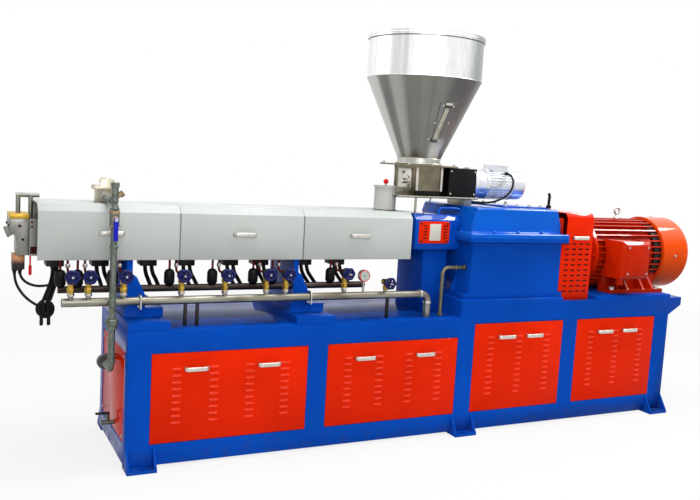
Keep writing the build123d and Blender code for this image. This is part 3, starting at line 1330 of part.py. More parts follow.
nodes["die_lead_1"] = cord_tube(route_from(DIE_BOX_X, DIE_BOX_LOW_Z, LEAD_1_ROUTE), LEAD_RADIUS)
nodes["die_lead_2"] = cord_tube(route_from(DIE_BOX_X, DIE_BOX_LOW_Z, LEAD_2_ROUTE), LEAD_RADIUS)
nodes["trunk_cable"] = cord_tube(route_from(TRUNK_X, TRUNK_TOP_Z, TRUNK_ROUTE), TRUNK_RADIUS)
nodes["cable_bunch"] = cable_bunch()
nodes["feeder_cable"] = cord_tube(route_from(TERMINAL_X, 0, FEEDER_CABLE_ROUTE), FEEDER_CABLE_RADIUS)

# One file for each node
os.makedirs("parts", exist_ok=True)
for name, shape in nodes.items():
    export_step(shape, f"parts/{name}.step")
print(len(nodes), "nodes")
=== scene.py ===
"""Dresses the plastic extruder: finishes, small fittings, cables, light and camera. Sizes are in metres."""

import json
from math import cos, degrees, pi, radians, sin, sqrt, tau

import bmesh
import bpy
from mathutils import Euler, Matrix, Vector

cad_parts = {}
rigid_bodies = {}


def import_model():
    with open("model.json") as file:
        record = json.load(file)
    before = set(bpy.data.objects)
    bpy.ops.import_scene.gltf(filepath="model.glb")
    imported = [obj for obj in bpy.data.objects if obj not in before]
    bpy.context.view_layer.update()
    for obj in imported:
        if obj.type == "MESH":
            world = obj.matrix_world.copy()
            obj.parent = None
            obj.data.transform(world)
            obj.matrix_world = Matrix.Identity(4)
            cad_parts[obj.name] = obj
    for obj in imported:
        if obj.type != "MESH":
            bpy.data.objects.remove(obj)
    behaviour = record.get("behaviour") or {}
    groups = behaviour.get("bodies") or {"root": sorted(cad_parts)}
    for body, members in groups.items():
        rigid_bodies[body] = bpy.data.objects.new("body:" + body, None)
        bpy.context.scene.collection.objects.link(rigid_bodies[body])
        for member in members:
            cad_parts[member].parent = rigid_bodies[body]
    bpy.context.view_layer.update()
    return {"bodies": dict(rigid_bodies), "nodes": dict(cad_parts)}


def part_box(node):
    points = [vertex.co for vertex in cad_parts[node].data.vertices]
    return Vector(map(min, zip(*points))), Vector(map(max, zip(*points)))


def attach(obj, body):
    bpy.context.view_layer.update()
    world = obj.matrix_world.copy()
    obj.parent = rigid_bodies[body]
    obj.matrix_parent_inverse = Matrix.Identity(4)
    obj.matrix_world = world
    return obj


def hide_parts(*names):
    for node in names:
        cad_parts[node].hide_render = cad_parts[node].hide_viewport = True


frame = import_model()
nodes = frame["nodes"]

# Places that several pieces share
PANELS = ((-1.554, 0.84, 0.5), (-0.599, 0.84, 0.5), (0.356, 0.668, 0.572), (1.139, 0.668, 0.572))
PANEL_FACE = 0.348
HOPPER_X = 0.1015
CONE_LOW, CONE_TOP, WALL_TOP = 1.612, 2.073, 2.296
NECK_RADIUS, HOPPER_RADIUS = 0.13, 0.34
CONE_SLOPE = (HOPPER_RADIUS - NECK_RADIUS) / (CONE_TOP - CONE_LOW)
GEAR_TOP, FLANGE_TOP, PLATE_TOP = 1.345, 1.196, 1.352
LANTERN_FACE, GUARD_FACE, COVER_FACE, TERMINAL_FACE = 0.195, 0.318, 0.1905, -0.4045
MOTOR_Z = 1.049
FEEDER_Z = 1.476
VENT_X = -0.114
PIPE_X, PIPE_Y, LEVER_Z = -1.742, -0.312, 1.238
SENSOR = (-2.092, -0.08, 1.04)
MANIFOLD_Y, MANIFOLD_Z = -0.265, 0.832
RETURN_Y = -0.15
STATIONS = (-1.928, -1.847, -1.68, -1.395, -1.168, -0.942, -0.832, -0.484)
LOW_STATION = -0.222
CONDUIT_BOXES = (-1.756, -1.512, -1.31, -1.068, -0.892, -0.632, -0.424)
VALVE_Z, LOW_VALVE_Z = 0.962, 0.905
WHEEL_Y, HUB_Y, STEM_NUT_Y, BONNET_Y = -0.3223, -0.3143, -0.296, -0.276
GAUGE = Vector((-0.364, -0.278, 0.944))
FRONT, BACK, UP, DOWN, LEFT, RIGHT = (0, -1, 0), (0, 1, 0), (0, 0, 1), (0, 0, -1), (-1, 0, 0), (1, 0, 0)
SIDES = (-1, 1)
EYE_X = 1.726

# Radius to a hexagon's corner for a width across flats of 1, and angles between faces
HEX_CORNER = 0.577
SMOOTH_BELOW, ROUND_ABOVE = radians(35), radians(40)

# Colours, as light reflected from red, green and blue
BLUE = (0.002, 0.07, 0.47)
# Pale blue for edges: painted highlight.
EDGE_HIGHLIGHT_BLUE = (0.3, 0.6, 0.98)
RED = (0.8, 0.022, 0.002)
# Pale red for edges: painted highlight.
EDGE_HIGHLIGHT_RED = (0.88, 0.22, 0.12)
ORANGE_RED = (0.58, 0.02, 0.001)
COVER_GREY = (0.535, 0.57, 0.545)
VENT_GREY = (0.66, 0.65, 0.61)
DUST = (0.42, 0.4, 0.36)
GRIME = (0.045, 0.042, 0.04)
RUST = (0.16, 0.06, 0.025)


# Node graphs
class Wire:
    """A node's output that can stand in a sum."""

    def __init__(self, graph, socket):
        self.graph = graph
        self.socket = socket

    def maths(self, operation, first, second=0):
        return self.graph.node("ShaderNodeMath", {"operation": operation}, {0: first, 1: second})

    def __add__(self, other):
        return self.maths("ADD", self, other)

    def __sub__(self, other):
        return self.maths("SUBTRACT", self, other)

    def __mul__(self, other):
        return self.maths("MULTIPLY", self, other)

    def __rtruediv__(self, other):
        return self.maths("DIVIDE", other, self)

    def __abs__(self):
        return self.maths("ABSOLUTE", self)

    def most(self, other):
        return self.maths("MAXIMUM", self, other)


class Graph:
    """A node tree that is filled one node at a time."""

    def __init__(self, tree):
        self.tree = tree

    def node(self, kind, settings=None, inputs=None, output=0):
        made = self.tree.nodes.new(kind)
        for key, value in (settings or {}).items():
            setattr(made, key, value)
        for key, value in (inputs or {}).items():
            if isinstance(value, Wire):
                self.tree.links.new(value.socket, made.inputs[key])
            else:
                made.inputs[key].default_value = value
        return Wire(self, made.outputs[output])

    def remap(self, value, low, high, to_low=0, to_high=1):
        sockets = {"Value": value, "From Min": low, "From Max": high, "To Min": to_low, "To Max": to_high}
        return self.node("ShaderNodeMapRange", {"interpolation_type": "SMOOTHSTEP"}, sockets)

    def mix(self, share, first, second):
        """Colour between two colours."""
        ends = {0: share}
        for key, colour in ((6, first), (7, second)):
            ends[key] = colour if isinstance(colour, Wire) else (*colour, 1)
        return self.node("ShaderNodeMix", {"data_type": "RGBA"}, ends, 2)


class Finish(Graph):
    """A material; the slot that it is given is not used. Constants sit on the shader, and what varies is plugged in."""

    def __init__(self, name, slot, constants):
        self.material = bpy.data.materials.new(name)
        self.material.use_nodes = True
        super().__init__(self.material.node_tree)
        self.shader = self.tree.nodes["Principled BSDF"]
        for socket, value in constants.items():
            self.shader.inputs[socket].default_value = value
        self.place = self.node("ShaderNodeTexCoord", output="Object")
        self.z = self.axis(self.place, 2)
        self.up = self.axis(self.node("ShaderNodeNewGeometry", output="Normal"), 2)

    def plug(self, socket, wire):
        self.tree.links.new(wire.socket, self.shader.inputs[socket])

    def axis(self, vector, index):
        return self.node("ShaderNodeSeparateXYZ", inputs={0: vector}, output=index)

    def noise(self, scale, detail=3, vector=None):
        sockets = {"Vector": vector or self.place, "Scale": scale, "Detail": detail, "Roughness": 0.55}
        return self.node("ShaderNodeTexNoise", inputs=sockets)

    def streaks(self, scale, detail, stretch):
        """Noise that is drawn out along the axes with a small stretch."""
        drawn = self.node("ShaderNodeMapping", inputs={"Vector": self.place, "Scale": stretch})
        return self.noise(scale, detail, drawn)

    def spread(self, noise, low=0, high=1):
        """The middle of a noise, spread between two values."""
        return self.remap(noise, 0.3, 0.7, low, high)

    def done(self, colour, roughness, relief, depth=0.0003):
        """The material, with its colour, roughness and relief plugged in."""
        self.plug("Base Color", colour)
        self.plug("Roughness", roughness)
        sockets = {"Height": relief, "Distance": depth, "Strength": 1}
        self.plug("Normal", self.node("ShaderNodeBump", inputs=sockets))
        return self.material


def shade(colour, share):
    return tuple(part * share for part in colour)


def enamel(name, slot, colour, gloss=0.09, tops_dirt_and_shade=0.03, shine=0.06, deep=0.85, sky=0, tops_colour_dirt_and_shade=DUST):
    """Sprayed enamel with slight orange peel, a patchy film on tops (dust with the default colour, painted shade with a
    dark colour), painted shade on faces that look down, grime near the floor and gloss towards the sky.
    """
    constants = {"IOR": 1.5, "Specular IOR Level": shine, "Coat Roughness": 0.05, "Coat IOR": 1.7}
    f = Finish(name, slot, constants)
    patches = f.mix(f.spread(f.noise(1.9, 4)), shade(colour, deep), colour)
    # Painted shade: faces that look down are darkened towards a third of their colour.
    underside_shade = f.mix(f.remap(f.up, -0.95, 0.05, 0.75, 0), patches, shade(colour, 0.3))
    # Patchy film on tops: dust with the default colour, painted shade where a dark colour is given.
    tops = f.remap(f.up, 0.55, 1) * f.remap(f.noise(5, 4), 0.35, 0.75) * tops_dirt_and_shade
    grime = f.remap(f.z, 0, 0.14, 1, 0) * f.remap(f.noise(18, 4), 0.4, 0.75)
    if sky:
        f.plug("Coat Weight", f.remap(f.up, 0.3, 0.65) * sky)
    dirt_and_painted_shade = f.mix(grime * 0.35, f.mix(tops, underside_shade, tops_colour_dirt_and_shade), GRIME)
    roughness = f.spread(f.noise(9, 5), gloss, gloss + 0.08) + grime * 0.3
    return f.done(dirt_and_painted_shade, roughness, f.noise(240, 2) * 0.4 + f.noise(30, 2) * 0.8, 0.0002)


def worn_and_highlit_edge(name, slot, paint, bright, metal=(0.3, 0.29, 0.28)):
    """Paint along an edge, pale in patches and most where the edge faces up: partly thin, worn paint and partly painted
    highlight. It has small chips down to the metal.
    """
    f = Finish(name, slot, {"IOR": 1.5, "Specular IOR Level": 0.5})
    # Painted highlight: edges that face up take more of the pale colour.
    top = f.remap(f.up, 0.15, 0.6)
    wear_and_highlight = f.mix(f.remap(f.noise(7, 4), 0.15, 0.5) * (top * 0.85 + 0.15), paint, bright)
    chips = f.remap(f.noise(38, 4), 0.64, 0.7)
    f.plug("Metallic", chips * 0.7)
    colour = f.mix(chips, wear_and_highlight, metal)
    return f.done(colour, f.spread(f.noise(22), 0.16, 0.34), f.noise(120) - chips * 0.8, 0.0004)


def bare_metal(name, slot, colour, roughness, grain, stain=0.35, stretch=(1, 1, 1), stain_colour=None):
    """Steel, zinc or brass with a fine grain along the streaks, and darker stains."""
    f = Finish(name, slot, {"Metallic": 1})
    marks = f.remap(f.noise(14, 5), 0.42, 0.72) * stain
    lines = f.streaks(grain, 3, stretch)
    stained = f.mix(marks, colour, stain_colour or shade(colour, 0.4))
    return f.done(stained, f.spread(lines, roughness - 0.07, roughness + 0.1) + marks * 0.25, lines)


def moulded(name, slot, colour, roughness, grain=500):
    """Plastic or rubber with a fine grain and worn, paler patches."""
    f = Finish(name, slot, {"IOR": 1.46, "Specular IOR Level": 0.15})
    pale = tuple(part * 1.7 + 0.01 for part in colour)
    worn = f.mix(f.remap(f.noise(26, 5), 0.5, 0.8) * 0.4, colour, pale)
    return f.done(worn, f.spread(f.noise(60), roughness - 0.08, roughness + 0.1), f.noise(grain, 2), 0.0002)


def galvanised():
    """Zinc-coated pipe with a mottled, greenish-grey skin."""
    f = Finish("galvanised", "galvanised_pipe", {"Metallic": 0.85})
    cells = f.node("ShaderNodeTexVoronoi", inputs={"Vector": f.place, "Scale": 90}, output="Color")
    flakes = f.axis(cells, 0)
    tone = f.mix(f.remap(flakes, 0, 1), (0.105, 0.125, 0.105), (0.17, 0.19, 0.16))
    marks = f.remap(f.noise(24, 5), 0.5, 0.72)
    roughness = f.remap(flakes, 0, 1, 0.38, 0.56) + marks * 0.2
    stained = f.mix(marks * 0.5, tone, (0.08, 0.08, 0.055))
    return f.done(stained, roughness, f.noise(150) + flakes * 0.3, 0.0004)


def hopper_steel():
    """Rolled sheet with painted reflection: near white on the upright wall, dark on the cone, with painted bands of
    highlight and shade that run down it, and a duller grey on faces that look up. It is darker grey below the cone.
    """
    f = Finish("hopper_steel", "stainless", {"Metallic": 1})
    x = f.axis(f.place, 0) - HOPPER_X
    turn = x.maths("ARCTAN2", f.axis(f.place, 1), x)

    def with_painted_bands(base, bands):
        """Base colour with painted reflection bands over it, each from its angle, half width, soft edge, share and
        tone.
        """
        for angle, half, soft, share, tone in bands:
            off = abs(turn - radians(angle))
            base = f.mix(f.remap(off, radians(half), radians(half + soft), 1, 0) * share, base, tone)
        return base

    around = f.node("ShaderNodeCombineXYZ", inputs={0: turn * 6, 1: f.z * 0.9, 2: 0})
    cloudy = f.spread(f.noise(1, 4, around))
    fine = f.noise(11, 3, around)
    cone = f.remap(f.z, CONE_TOP - 0.004, CONE_TOP + 0.002, 1, 0) * f.remap(f.z, CONE_LOW, CONE_LOW + 0.004)
    high = f.remap(f.z, CONE_LOW, CONE_TOP)
    # Painted reflection: the upright wall is near white, with darker bands by angle round the hopper.
    wall_reflection_bands = (
        (-176, 2, 5, 0.3, (0.5, 0.5, 0.51)),
        (-150, 3, 6, 0.5, (0.5, 0.5, 0.51)),
        (-140, 1, 3, 0.45, (0.45, 0.45, 0.45)),
        (70, 12, 30, 0.7, (0.36, 0.37, 0.38)),
        (128, 4, 14, 0.6, (0.45, 0.46, 0.47)),
        (-46, 13, 26, 0.9, (0.26, 0.29, 0.28)),
    )
    wall = with_painted_bands(f.mix(cloudy, (0.9, 0.9, 0.9), (0.82, 0.82, 0.83)), wall_reflection_bands)
    wall = f.mix(f.remap(f.z, CONE_LOW, CONE_LOW + 0.004, 0.85, 0), wall, (0.4, 0.4, 0.37))
    # Painted reflection on the cone: a dark band and pale bands by angle, over a dark sheet.
    cone_reflection_bands = (
        (-72, 8, 22, high * 0.75, (0.085, 0.082, 0.09)),
        (-150, 3, 9, 0.7, (0.5, 0.5, 0.47)),
        (-205, 26, 10, 0.8, (0.62, 0.62, 0.6)),
        (155, 26, 10, 0.8, (0.62, 0.62, 0.6)),
        (-84, 8, 14, f.remap(high, 0.02, 0.22, 1, 0) * 0.8, (0.6, 0.6, 0.58)),
    )
    sheet = f.mix(cloudy, (0.185, 0.18, 0.155), (0.23, 0.228, 0.21))
    sheet = with_painted_bands(f.mix(f.remap(f.noise(4), 0.4, 0.7) * 0.5, sheet, (0.15, 0.155, 0.17)), cone_reflection_bands)
    # Painted reflection: faces that look up take a duller grey than the wall.
    lid = f.mix(f.spread(f.noise(3, 5)), (0.52, 0.52, 0.51), (0.66, 0.66, 0.65))
    colour = f.mix(f.remap(f.up, 0.4, 0.7), f.mix(cone, wall, sheet), lid)
    return f.done(colour, f.spread(fine, 0.22, 0.38) + cone * 0.1, fine)


def manifold_steel():
    """Warm bright steel on the feed pipe, red-brown on the return pipe behind it."""
    f = Finish("manifold_steel", "galvanised_pipe", {"Metallic": 0.9})
    marks = f.remap(f.streaks(16, 5, (0.25, 1, 1)), 0.4, 0.7)
    feed = f.mix(marks, (0.28, 0.275, 0.225), (0.15, 0.125, 0.09))
    back = f.mix(marks, (0.035, 0.025, 0.022), (0.09, 0.075, 0.065))
    grain = f.streaks(110, 3, (0.2, 5, 5))
    colour = f.mix(f.remap(f.axis(f.place, 1), -0.215, -0.205), feed, back)
    return f.done(colour, f.spread(grain, 0.28, 0.44) + marks * 0.1, grain)


def valve_metal():
    """Brass fitting below, black valve body above it."""
    f = Finish("valve_metal", "brass", {"Metallic": 0.9})
    marks = f.remap(f.noise(40, 5), 0.42, 0.7) * 0.5
    yellow = f.mix(marks, (0.52, 0.33, 0.05), (0.22, 0.13, 0.03))
    black = f.mix(marks, (0.02, 0.019, 0.024), (0.07, 0.05, 0.03))
    colour = f.mix(f.remap(f.z, 0.94, 0.944), yellow, black)
    return f.done(colour, f.spread(f.noise(70), 0.3, 0.46), f.noise(160))


def heater_metal():
    """Golden plate on the die, copper-coloured box below it that is dark at its foot."""
    f = Finish("heater_metal", "heater_bronze", {"Metallic": 0.8})
    marks = f.remap(f.noise(30, 5), 0.45, 0.7)
    gold = f.mix(marks * 0.6, (0.6, 0.37, 0.04), (0.3, 0.15, 0.03))
    box = f.mix(f.remap(f.z, 0.985, 1.015), (0.028, 0.025, 0.03), (0.4, 0.19, 0.09))
    colour = f.mix(f.remap(f.z, 1.1, 1.2), f.mix(marks * 0.5, box, (0.05, 0.04, 0.04)), gold)
    return f.done(colour, f.spread(f.noise(60), 0.32, 0.52), f.noise(180) + marks * 0.5)


def sight_glass():
    """Cloudy strip of glass with pellets' dust behind it."""
    f = Finish("sight_glass", "sight_glass", {"IOR": 1.5})
    cloud = f.noise(40, 4)
    colour = f.mix(f.remap(cloud, 0.35, 0.65), (0.5, 0.47, 0.36), (0.34, 0.32, 0.25))
    return f.done(colour, f.spread(cloud, 0.08, 0.2), cloud)


def gauge_face():
    """Pale printed dial, a little yellowed."""
    f = Finish("gauge_face", "gauge_case", {"IOR": 1.5, "Specular IOR Level": 0.4})
    colour = f.mix(f.remap(f.noise(50, 4), 0.4, 0.7), (0.47, 0.55, 0.5), (0.38, 0.44, 0.42))
    return f.done(colour, f.spread(f.noise(90), 0.12, 0.24), f.noise(300), 0.0001)


# Blue paint: its tops take a dark navy film in patches, painted shade.
blue_enamel = enamel("blue_enamel", "blue_paint", BLUE, tops_dirt_and_shade=0.8, shine=0.02, tops_colour_dirt_and_shade=(0.004, 0.022, 0.11))
lantern_blue = enamel("lantern_blue", "blue_paint", BLUE, sky=1)
blue_edge = worn_and_highlit_edge("blue_edge", "blue_paint", BLUE, EDGE_HIGHLIGHT_BLUE)
cover_blue = enamel("gear_cover_blue", "blue_paint", (0.003, 0.115, 0.62), sky=0.8)
red_enamel = enamel("red_enamel", "red_paint", RED, gloss=0.14, shine=0.025, sky=1)
red_edge = worn_and_highlit_edge("red_edge", "red_paint", RED, EDGE_HIGHLIGHT_RED)
# Louvres take a paler red than the panels: painted highlight on their lips.
louvre_red = enamel("louvre_red", "red_paint", (0.84, 0.04, 0.012), gloss=0.22, shine=0.22, deep=0.9)
motor_enamel = enamel("motor_enamel", "red_paint", ORANGE_RED, gloss=0.06, shine=0.05, deep=0.88, sky=1)
cowl_enamel = enamel("cowl_enamel", "red_paint", (0.78, 0.075, 0.006), gloss=0.1, shine=0.03, deep=0.92, sky=0.7)
# Pale orange for the motor's edges: painted highlight.
motor_edge = worn_and_highlit_edge("motor_edge", "red_paint", ORANGE_RED, (0.92, 0.16, 0.05))
# Covers: their tops take a darker copy of the cover grey in patches, painted shade.
cover_tops_shade = {"tops_dirt_and_shade": 0.7, "tops_colour_dirt_and_shade": (0.36, 0.38, 0.365)}
grey_enamel = enamel("grey_enamel", "cover_paint", COVER_GREY, gloss=0.3, shine=0.2, deep=0.94, **cover_tops_shade)
# Cover edges: a darker copy of the cover grey, painted shade, and pale grey where they face up, painted highlight.
grey_edge = worn_and_highlit_edge("grey_edge", "cover_paint", (0.3, 0.32, 0.3), (0.72, 0.76, 0.73), (0.45, 0.45, 0.44))
vent_enamel = enamel("vent_enamel", "cover_paint", VENT_GREY, gloss=0.3, shine=0.2)
wheel_enamel = enamel("wheel_enamel", "wheel_paint", (0.008, 0.011, 0.105), gloss=0.2, shine=0.15)
tube_enamel = enamel("tube_enamel", "tube_red", (0.15, 0.012, 0.01), gloss=0.4, tops_dirt_and_shade=0.1)
black_iron = bare_metal("black_iron", "dark_steel", (0.035, 0.033, 0.035), 0.5, 90)
dark_steel = bare_metal("dark_steel", "dark_steel", (0.1, 0.095, 0.1), 0.42, 90)
groove_steel = bare_metal("groove_steel", "dark_steel", (0.2, 0.2, 0.22), 0.4, 90)
bare_steel = bare_metal("bare_steel", "bare_steel", (0.44, 0.44, 0.42), 0.36, 120, 0.35, (1, 6, 6))
port_steel = bare_metal("port_steel", "bare_steel", (0.5, 0.46, 0.36), 0.4, 90, 0.6, stain_colour=(0.2, 0.14, 0.09))
die_steel = bare_metal("die_steel", "bare_steel", (0.22, 0.22, 0.2), 0.4, 80, 0.7, stain_colour=(0.13, 0.13, 0.12))
bright_alloy = bare_metal("bright_alloy", "bare_steel", (0.62, 0.6, 0.54), 0.34, 140, 0.2, (0.3, 6, 6))
plate_steel = bare_metal("plate_steel", "bare_steel", (0.42, 0.4, 0.33), 0.4, 110, 0.4, (0.4, 4, 4))
oily = {"stain": 0.55, "stretch": (5, 5, 0.5), "stain_colour": (0.13, 0.11, 0.07)}
panel_steel = bare_metal("panel_steel", "bare_steel", (0.21, 0.188, 0.13), 0.3, 60, **oily)
screw_steel = bare_metal("screw_steel", "bare_steel", (0.5, 0.49, 0.47), 0.35, 200, 0.3)
olive_pipe = bare_metal("olive_pipe", "galvanised_pipe", (0.17, 0.16, 0.1), 0.42, 90, 0.5)
cast_alloy = bare_metal("cast_alloy", "motor_alloy", (0.74, 0.76, 0.8), 0.28, 240, 0.2)
brass = bare_metal("brass", "brass", (0.5, 0.32, 0.06), 0.34, 120)
rusty_brass = bare_metal("rusty_brass", "brass", (0.34, 0.25, 0.15), 0.5, 70, 0.7, stain_colour=RUST)
copper = bare_metal("copper", "heater_bronze", (0.34, 0.15, 0.08), 0.4, 90, 0.4)
black_plastic = moulded("black_plastic", "black_plastic", (0.005, 0.005, 0.006), 0.42)
# Dark inlays in slots and holes: painted shade in openings.
slot_black = moulded("slot_black", "red_paint", (0.05, 0.004, 0.003), 0.7)
cable_rubber = moulded("cable_rubber", "cable_black", (0.009, 0.009, 0.01), 0.5, 300)
lever_sleeve = moulded("lever_sleeve", "lever_paint", (0.012, 0.015, 0.46), 0.35)
knob_red = moulded("knob_red", "tube_red", (0.72, 0.01, 0.012), 0.25)
blank_plate = moulded("blank_plate", "cover_paint", (0.62, 0.6, 0.52), 0.4)
zinc_pipe = galvanised()
steel_sheet = hopper_steel()
pipe_steel = manifold_steel()
die_heat = heater_metal()
valve_black = valve_metal()
strip_glass = sight_glass()
dial_face = gauge_face()

NODE_FINISHES = {
    blue_enamel: ["base_frame", "foot_brackets", "bedplates", "gearbox_housing", "lantern_pedestal", "barrel_supports"],
    lantern_blue: ["lantern"],
    cover_blue: ["gearbox_cover"],
    red_enamel: ["front_panels", "rear_panels", "end_panels", "lantern_covers", "coupling_guard"],
    motor_enamel: ["motor_frame", "motor_end_bell", "motor_terminal_box"],
    cowl_enamel: ["motor_fan_cowl"],
    grey_enamel: ["barrel_cover_1", "barrel_cover_2", "barrel_cover_3"],
    vent_enamel: ["vent_stack"],
    black_iron: ["barrel", "heater_boxes", "solenoid_coils"],
    die_steel: ["die_adaptor", "die_head"],
    port_steel: ["vacuum_port"],
    plate_steel: ["feeder_stand"],
    panel_steel: ["feeder_box"],
    bare_steel: ["pressure_gauge"],
    bright_alloy: ["bow_handles"],
    zinc_pipe: ["standpipe", "drain_tap"],
    olive_pipe: ["oil_pipe"],
    pipe_steel: ["manifolds"],
    cast_alloy: ["feeder_motor"],
    valve_black: ["valve_bodies"],
    die_heat: ["die_heaters"],
    black_plastic: ["drain_tap_handle", "feeder_guard"],
    cable_rubber: ["die_lead_1", "die_lead_2", "trunk_cable", "cable_bunch", "feeder_cable"],
    wheel_enamel: [f"handwheel_{index}" for index in range(1, 10)],
    lever_sleeve: ["valve_lever"],
    tube_enamel: ["cooling_tubes"],
    steel_sheet: ["hopper_shell", "hopper_lid", "hopper_window"],
}
finish_of = {name: material for material, names in NODE_FINISHES.items() for name in names}
for name, material in finish_of.items():
    nodes[name].data.materials.clear()
    nodes[name].data.materials.append(material)


# Pieces
def link(name, data):
    made = bpy.data.objects.new(name, data)
    bpy.context.scene.collection.objects.link(made)
    return made


def plain_mesh(host):
    """Mesh of an object with its modifiers or its curve worked out. The object goes."""
    bpy.context.view_layer.update()
    mesh = bpy.data.meshes.new_from_object(host.evaluated_get(bpy.context.evaluated_depsgraph_get()))
    bpy.data.objects.remove(host)
    return mesh


def mesh_of(shape):
    """Mesh of an editable shape, which goes."""
    mesh = bpy.data.meshes.new("shape")
    shape.to_mesh(mesh)
    shape.free()
    return mesh


def smoothed(mesh):
    mesh.polygons.foreach_set("use_smooth", [True] * len(mesh.polygons))
    mesh.set_sharp_from_angle(angle=SMOOTH_BELOW)
    return mesh


def dress(mesh, materials):
    mesh.materials.clear()
    for material in materials:
        mesh.materials.append(material)


def piece(name, form, materials, body="machine", stands_for=()):
    """Finished object at the origin that rides on a body, from a mesh, from forms or from a list of both."""
    if isinstance(form, list):
        shape = bmesh.new()
        for part in form:
            shape.from_mesh(part.mesh() if isinstance(part, Forms) else part)
        form = smoothed(mesh_of(shape))
    mesh = form.mesh() if isinstance(form, Forms) else form
    materials = materials if isinstance(materials, list) else [materials]
    dress(mesh, materials)
    made = link(name, mesh)
    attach(made, body)
    if stands_for:
        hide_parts(*stands_for)
    return made


def circle(steps):
    """Cosine and sine of each step round a circle."""
    return [(cos(tau * step / steps), sin(tau * step / steps)) for step in range(steps)]


class Forms:
    """Small shapes that are gathered in one mesh."""

    def __init__(self):
        self.shape = bmesh.new()

    def skin(self, rings, closed=False):
        """Faces between rings of points, which close to a loop or have a face on each end."""
        rings = [[self.shape.verts.new(point) for point in ring] for ring in rings]
        for low, high in zip(rings, rings[1:] + rings[:1] if closed else rings[1:]):
            for step in range(len(low)):
                after = (step + 1) % len(low)
                self.shape.faces.new((low[step], low[after], high[after], high[step]))
        if not closed:
            self.shape.faces.new(rings[0][::-1])
            self.shape.faces.new(rings[-1])
        return self

    def box(self, low, high, edge=0.001):
        """Block between two corners, with rounded edges."""
        low, high = Vector(low), Vector(high)
        place = Matrix.Translation((low + high) / 2) @ Matrix.Diagonal((*(high - low), 1))
        made = bmesh.ops.create_cube(self.shape, size=1, matrix=place)
        edges = list({line for vert in made["verts"] for line in vert.link_edges})
        bmesh.ops.bevel(self.shape, geom=edges, offset=edge, segments=2, affect="EDGES", profile=0.5)
        return self

    def turned(self, profile, place, along, sides=24):
        """Turned shape on an axis, from steps of (distance, radius)."""
        turn = Vector(along).to_track_quat("Z", "Y")
        rings = []
        for distance, radius in profile:
            points = [Vector((radius * x, radius * y, distance)) for x, y in circle(sides)]
            rings.append([Vector(place) + turn @ point for point in points])
        return self.skin(rings)

    def hexagon(self, place, along, across, height):
        """Nut or hexagon fitting with chamfered ends."""
        corner = across * HEX_CORNER
        profile = [(0, corner * 0.9), (height * 0.12, corner), (height * 0.88, corner), (height, corner * 0.9)]
        return self.turned(profile, place, along, 6)

    def ball(self, centre, radius):
        angles = [pi * step / 12 for step in range(1, 12)]
        return self.turned([(-radius * cos(angle), radius * sin(angle)) for angle in angles], centre, UP, 20)

    def loop(self, centre, along, radius, thickness, around=28, sides=10, lobes=0, lobe=0):
        """Round bar bent to a ring, with lobes on it if it has any."""
        turn = Vector(along).to_track_quat("Z", "Y")
        rings = []
        for step, (x, y) in enumerate(circle(around)):
            reach = radius + lobe * cos(lobes * tau * step / around)
            ring = []
            for out, rise in circle(sides):
                point = Vector((x, y, 0)) * (reach + thickness * out) + Vector((0, 0, thickness * rise))
                ring.append(Vector(centre) + turn @ point)
            rings.append(ring)
        return self.skin(rings, closed=True)

    def prism(self, points, depth):
        """Flat outline drawn out along a depth."""
        return self.skin([points, [Vector(point) + Vector(depth) for point in points]])

    def mesh(self):
        bmesh.ops.recalc_face_normals(self.shape, faces=self.shape.faces)
        return smoothed(mesh_of(self.shape))


def softened(node, width, edge, flush):
    """Copy of a CAD node with rounded edges, in its place. Edges that lie at a flush height stay sharp."""
    mesh = nodes[node].data.copy()
    shape = bmesh.new()
    shape.from_mesh(mesh)
    bmesh.ops.remove_doubles(shape, verts=shape.verts, dist=1e-5)
    bmesh.ops.dissolve_limit(shape, angle_limit=radians(1), verts=shape.verts, edges=shape.edges)
    weight = shape.edges.layers.float.new("bevel_weight_edge")
    for line in shape.edges:
        level = any(all(abs(vert.co.z - height) < 0.001 for vert in line.verts) for height in flush)
        if len(line.link_faces) == 2 and line.calc_face_angle() > ROUND_ABOVE and not level:
            line[weight] = 1
    shape.to_mesh(mesh)
    shape.free()
    materials = [finish_of[node]] + ([edge] if edge else [])
    dress(mesh, materials)
    host = link("host", mesh)
    rounding = host.modifiers.new("rounding", "BEVEL")
    rounding.width = width
    rounding.segments = 2
    rounding.limit_method = "WEIGHT"
    rounding.use_clamp_overlap = True
    rounding.material = 1 if edge else -1
    body = node if node in frame["bodies"] else "machine"
    piece(node + "_dressed", smoothed(plain_mesh(host)), materials, body, (node,))


# Trees that repeat a shape
def new_tree(name, sockets):
    """Geometry tree with named inputs, and the wires that come from them."""
    tree = bpy.data.node_groups.new(name, "GeometryNodeTree")
    sockets = {"Shape": "Object", "Finish": "Material", **sockets}
    for label, kind in sockets.items():
        tree.interface.new_socket(label, in_out="INPUT", socket_type="NodeSocket" + kind)
    tree.interface.new_socket("Geometry", in_out="OUTPUT", socket_type="NodeSocketGeometry")
    graph = Graph(tree)
    entry = tree.nodes.new("NodeGroupInput")
    return graph, {label: Wire(graph, entry.outputs[label]) for label in sockets}


def close_tree(graph, placed, finish):
    real = graph.node("GeometryNodeRealizeInstances", inputs={0: placed})
    dressed = graph.node("GeometryNodeSetMaterial", inputs={"Geometry": real, "Material": finish})
    end = graph.tree.nodes.new("NodeGroupOutput")
    graph.tree.links.new(dressed.socket, end.inputs[0])
    return graph.tree


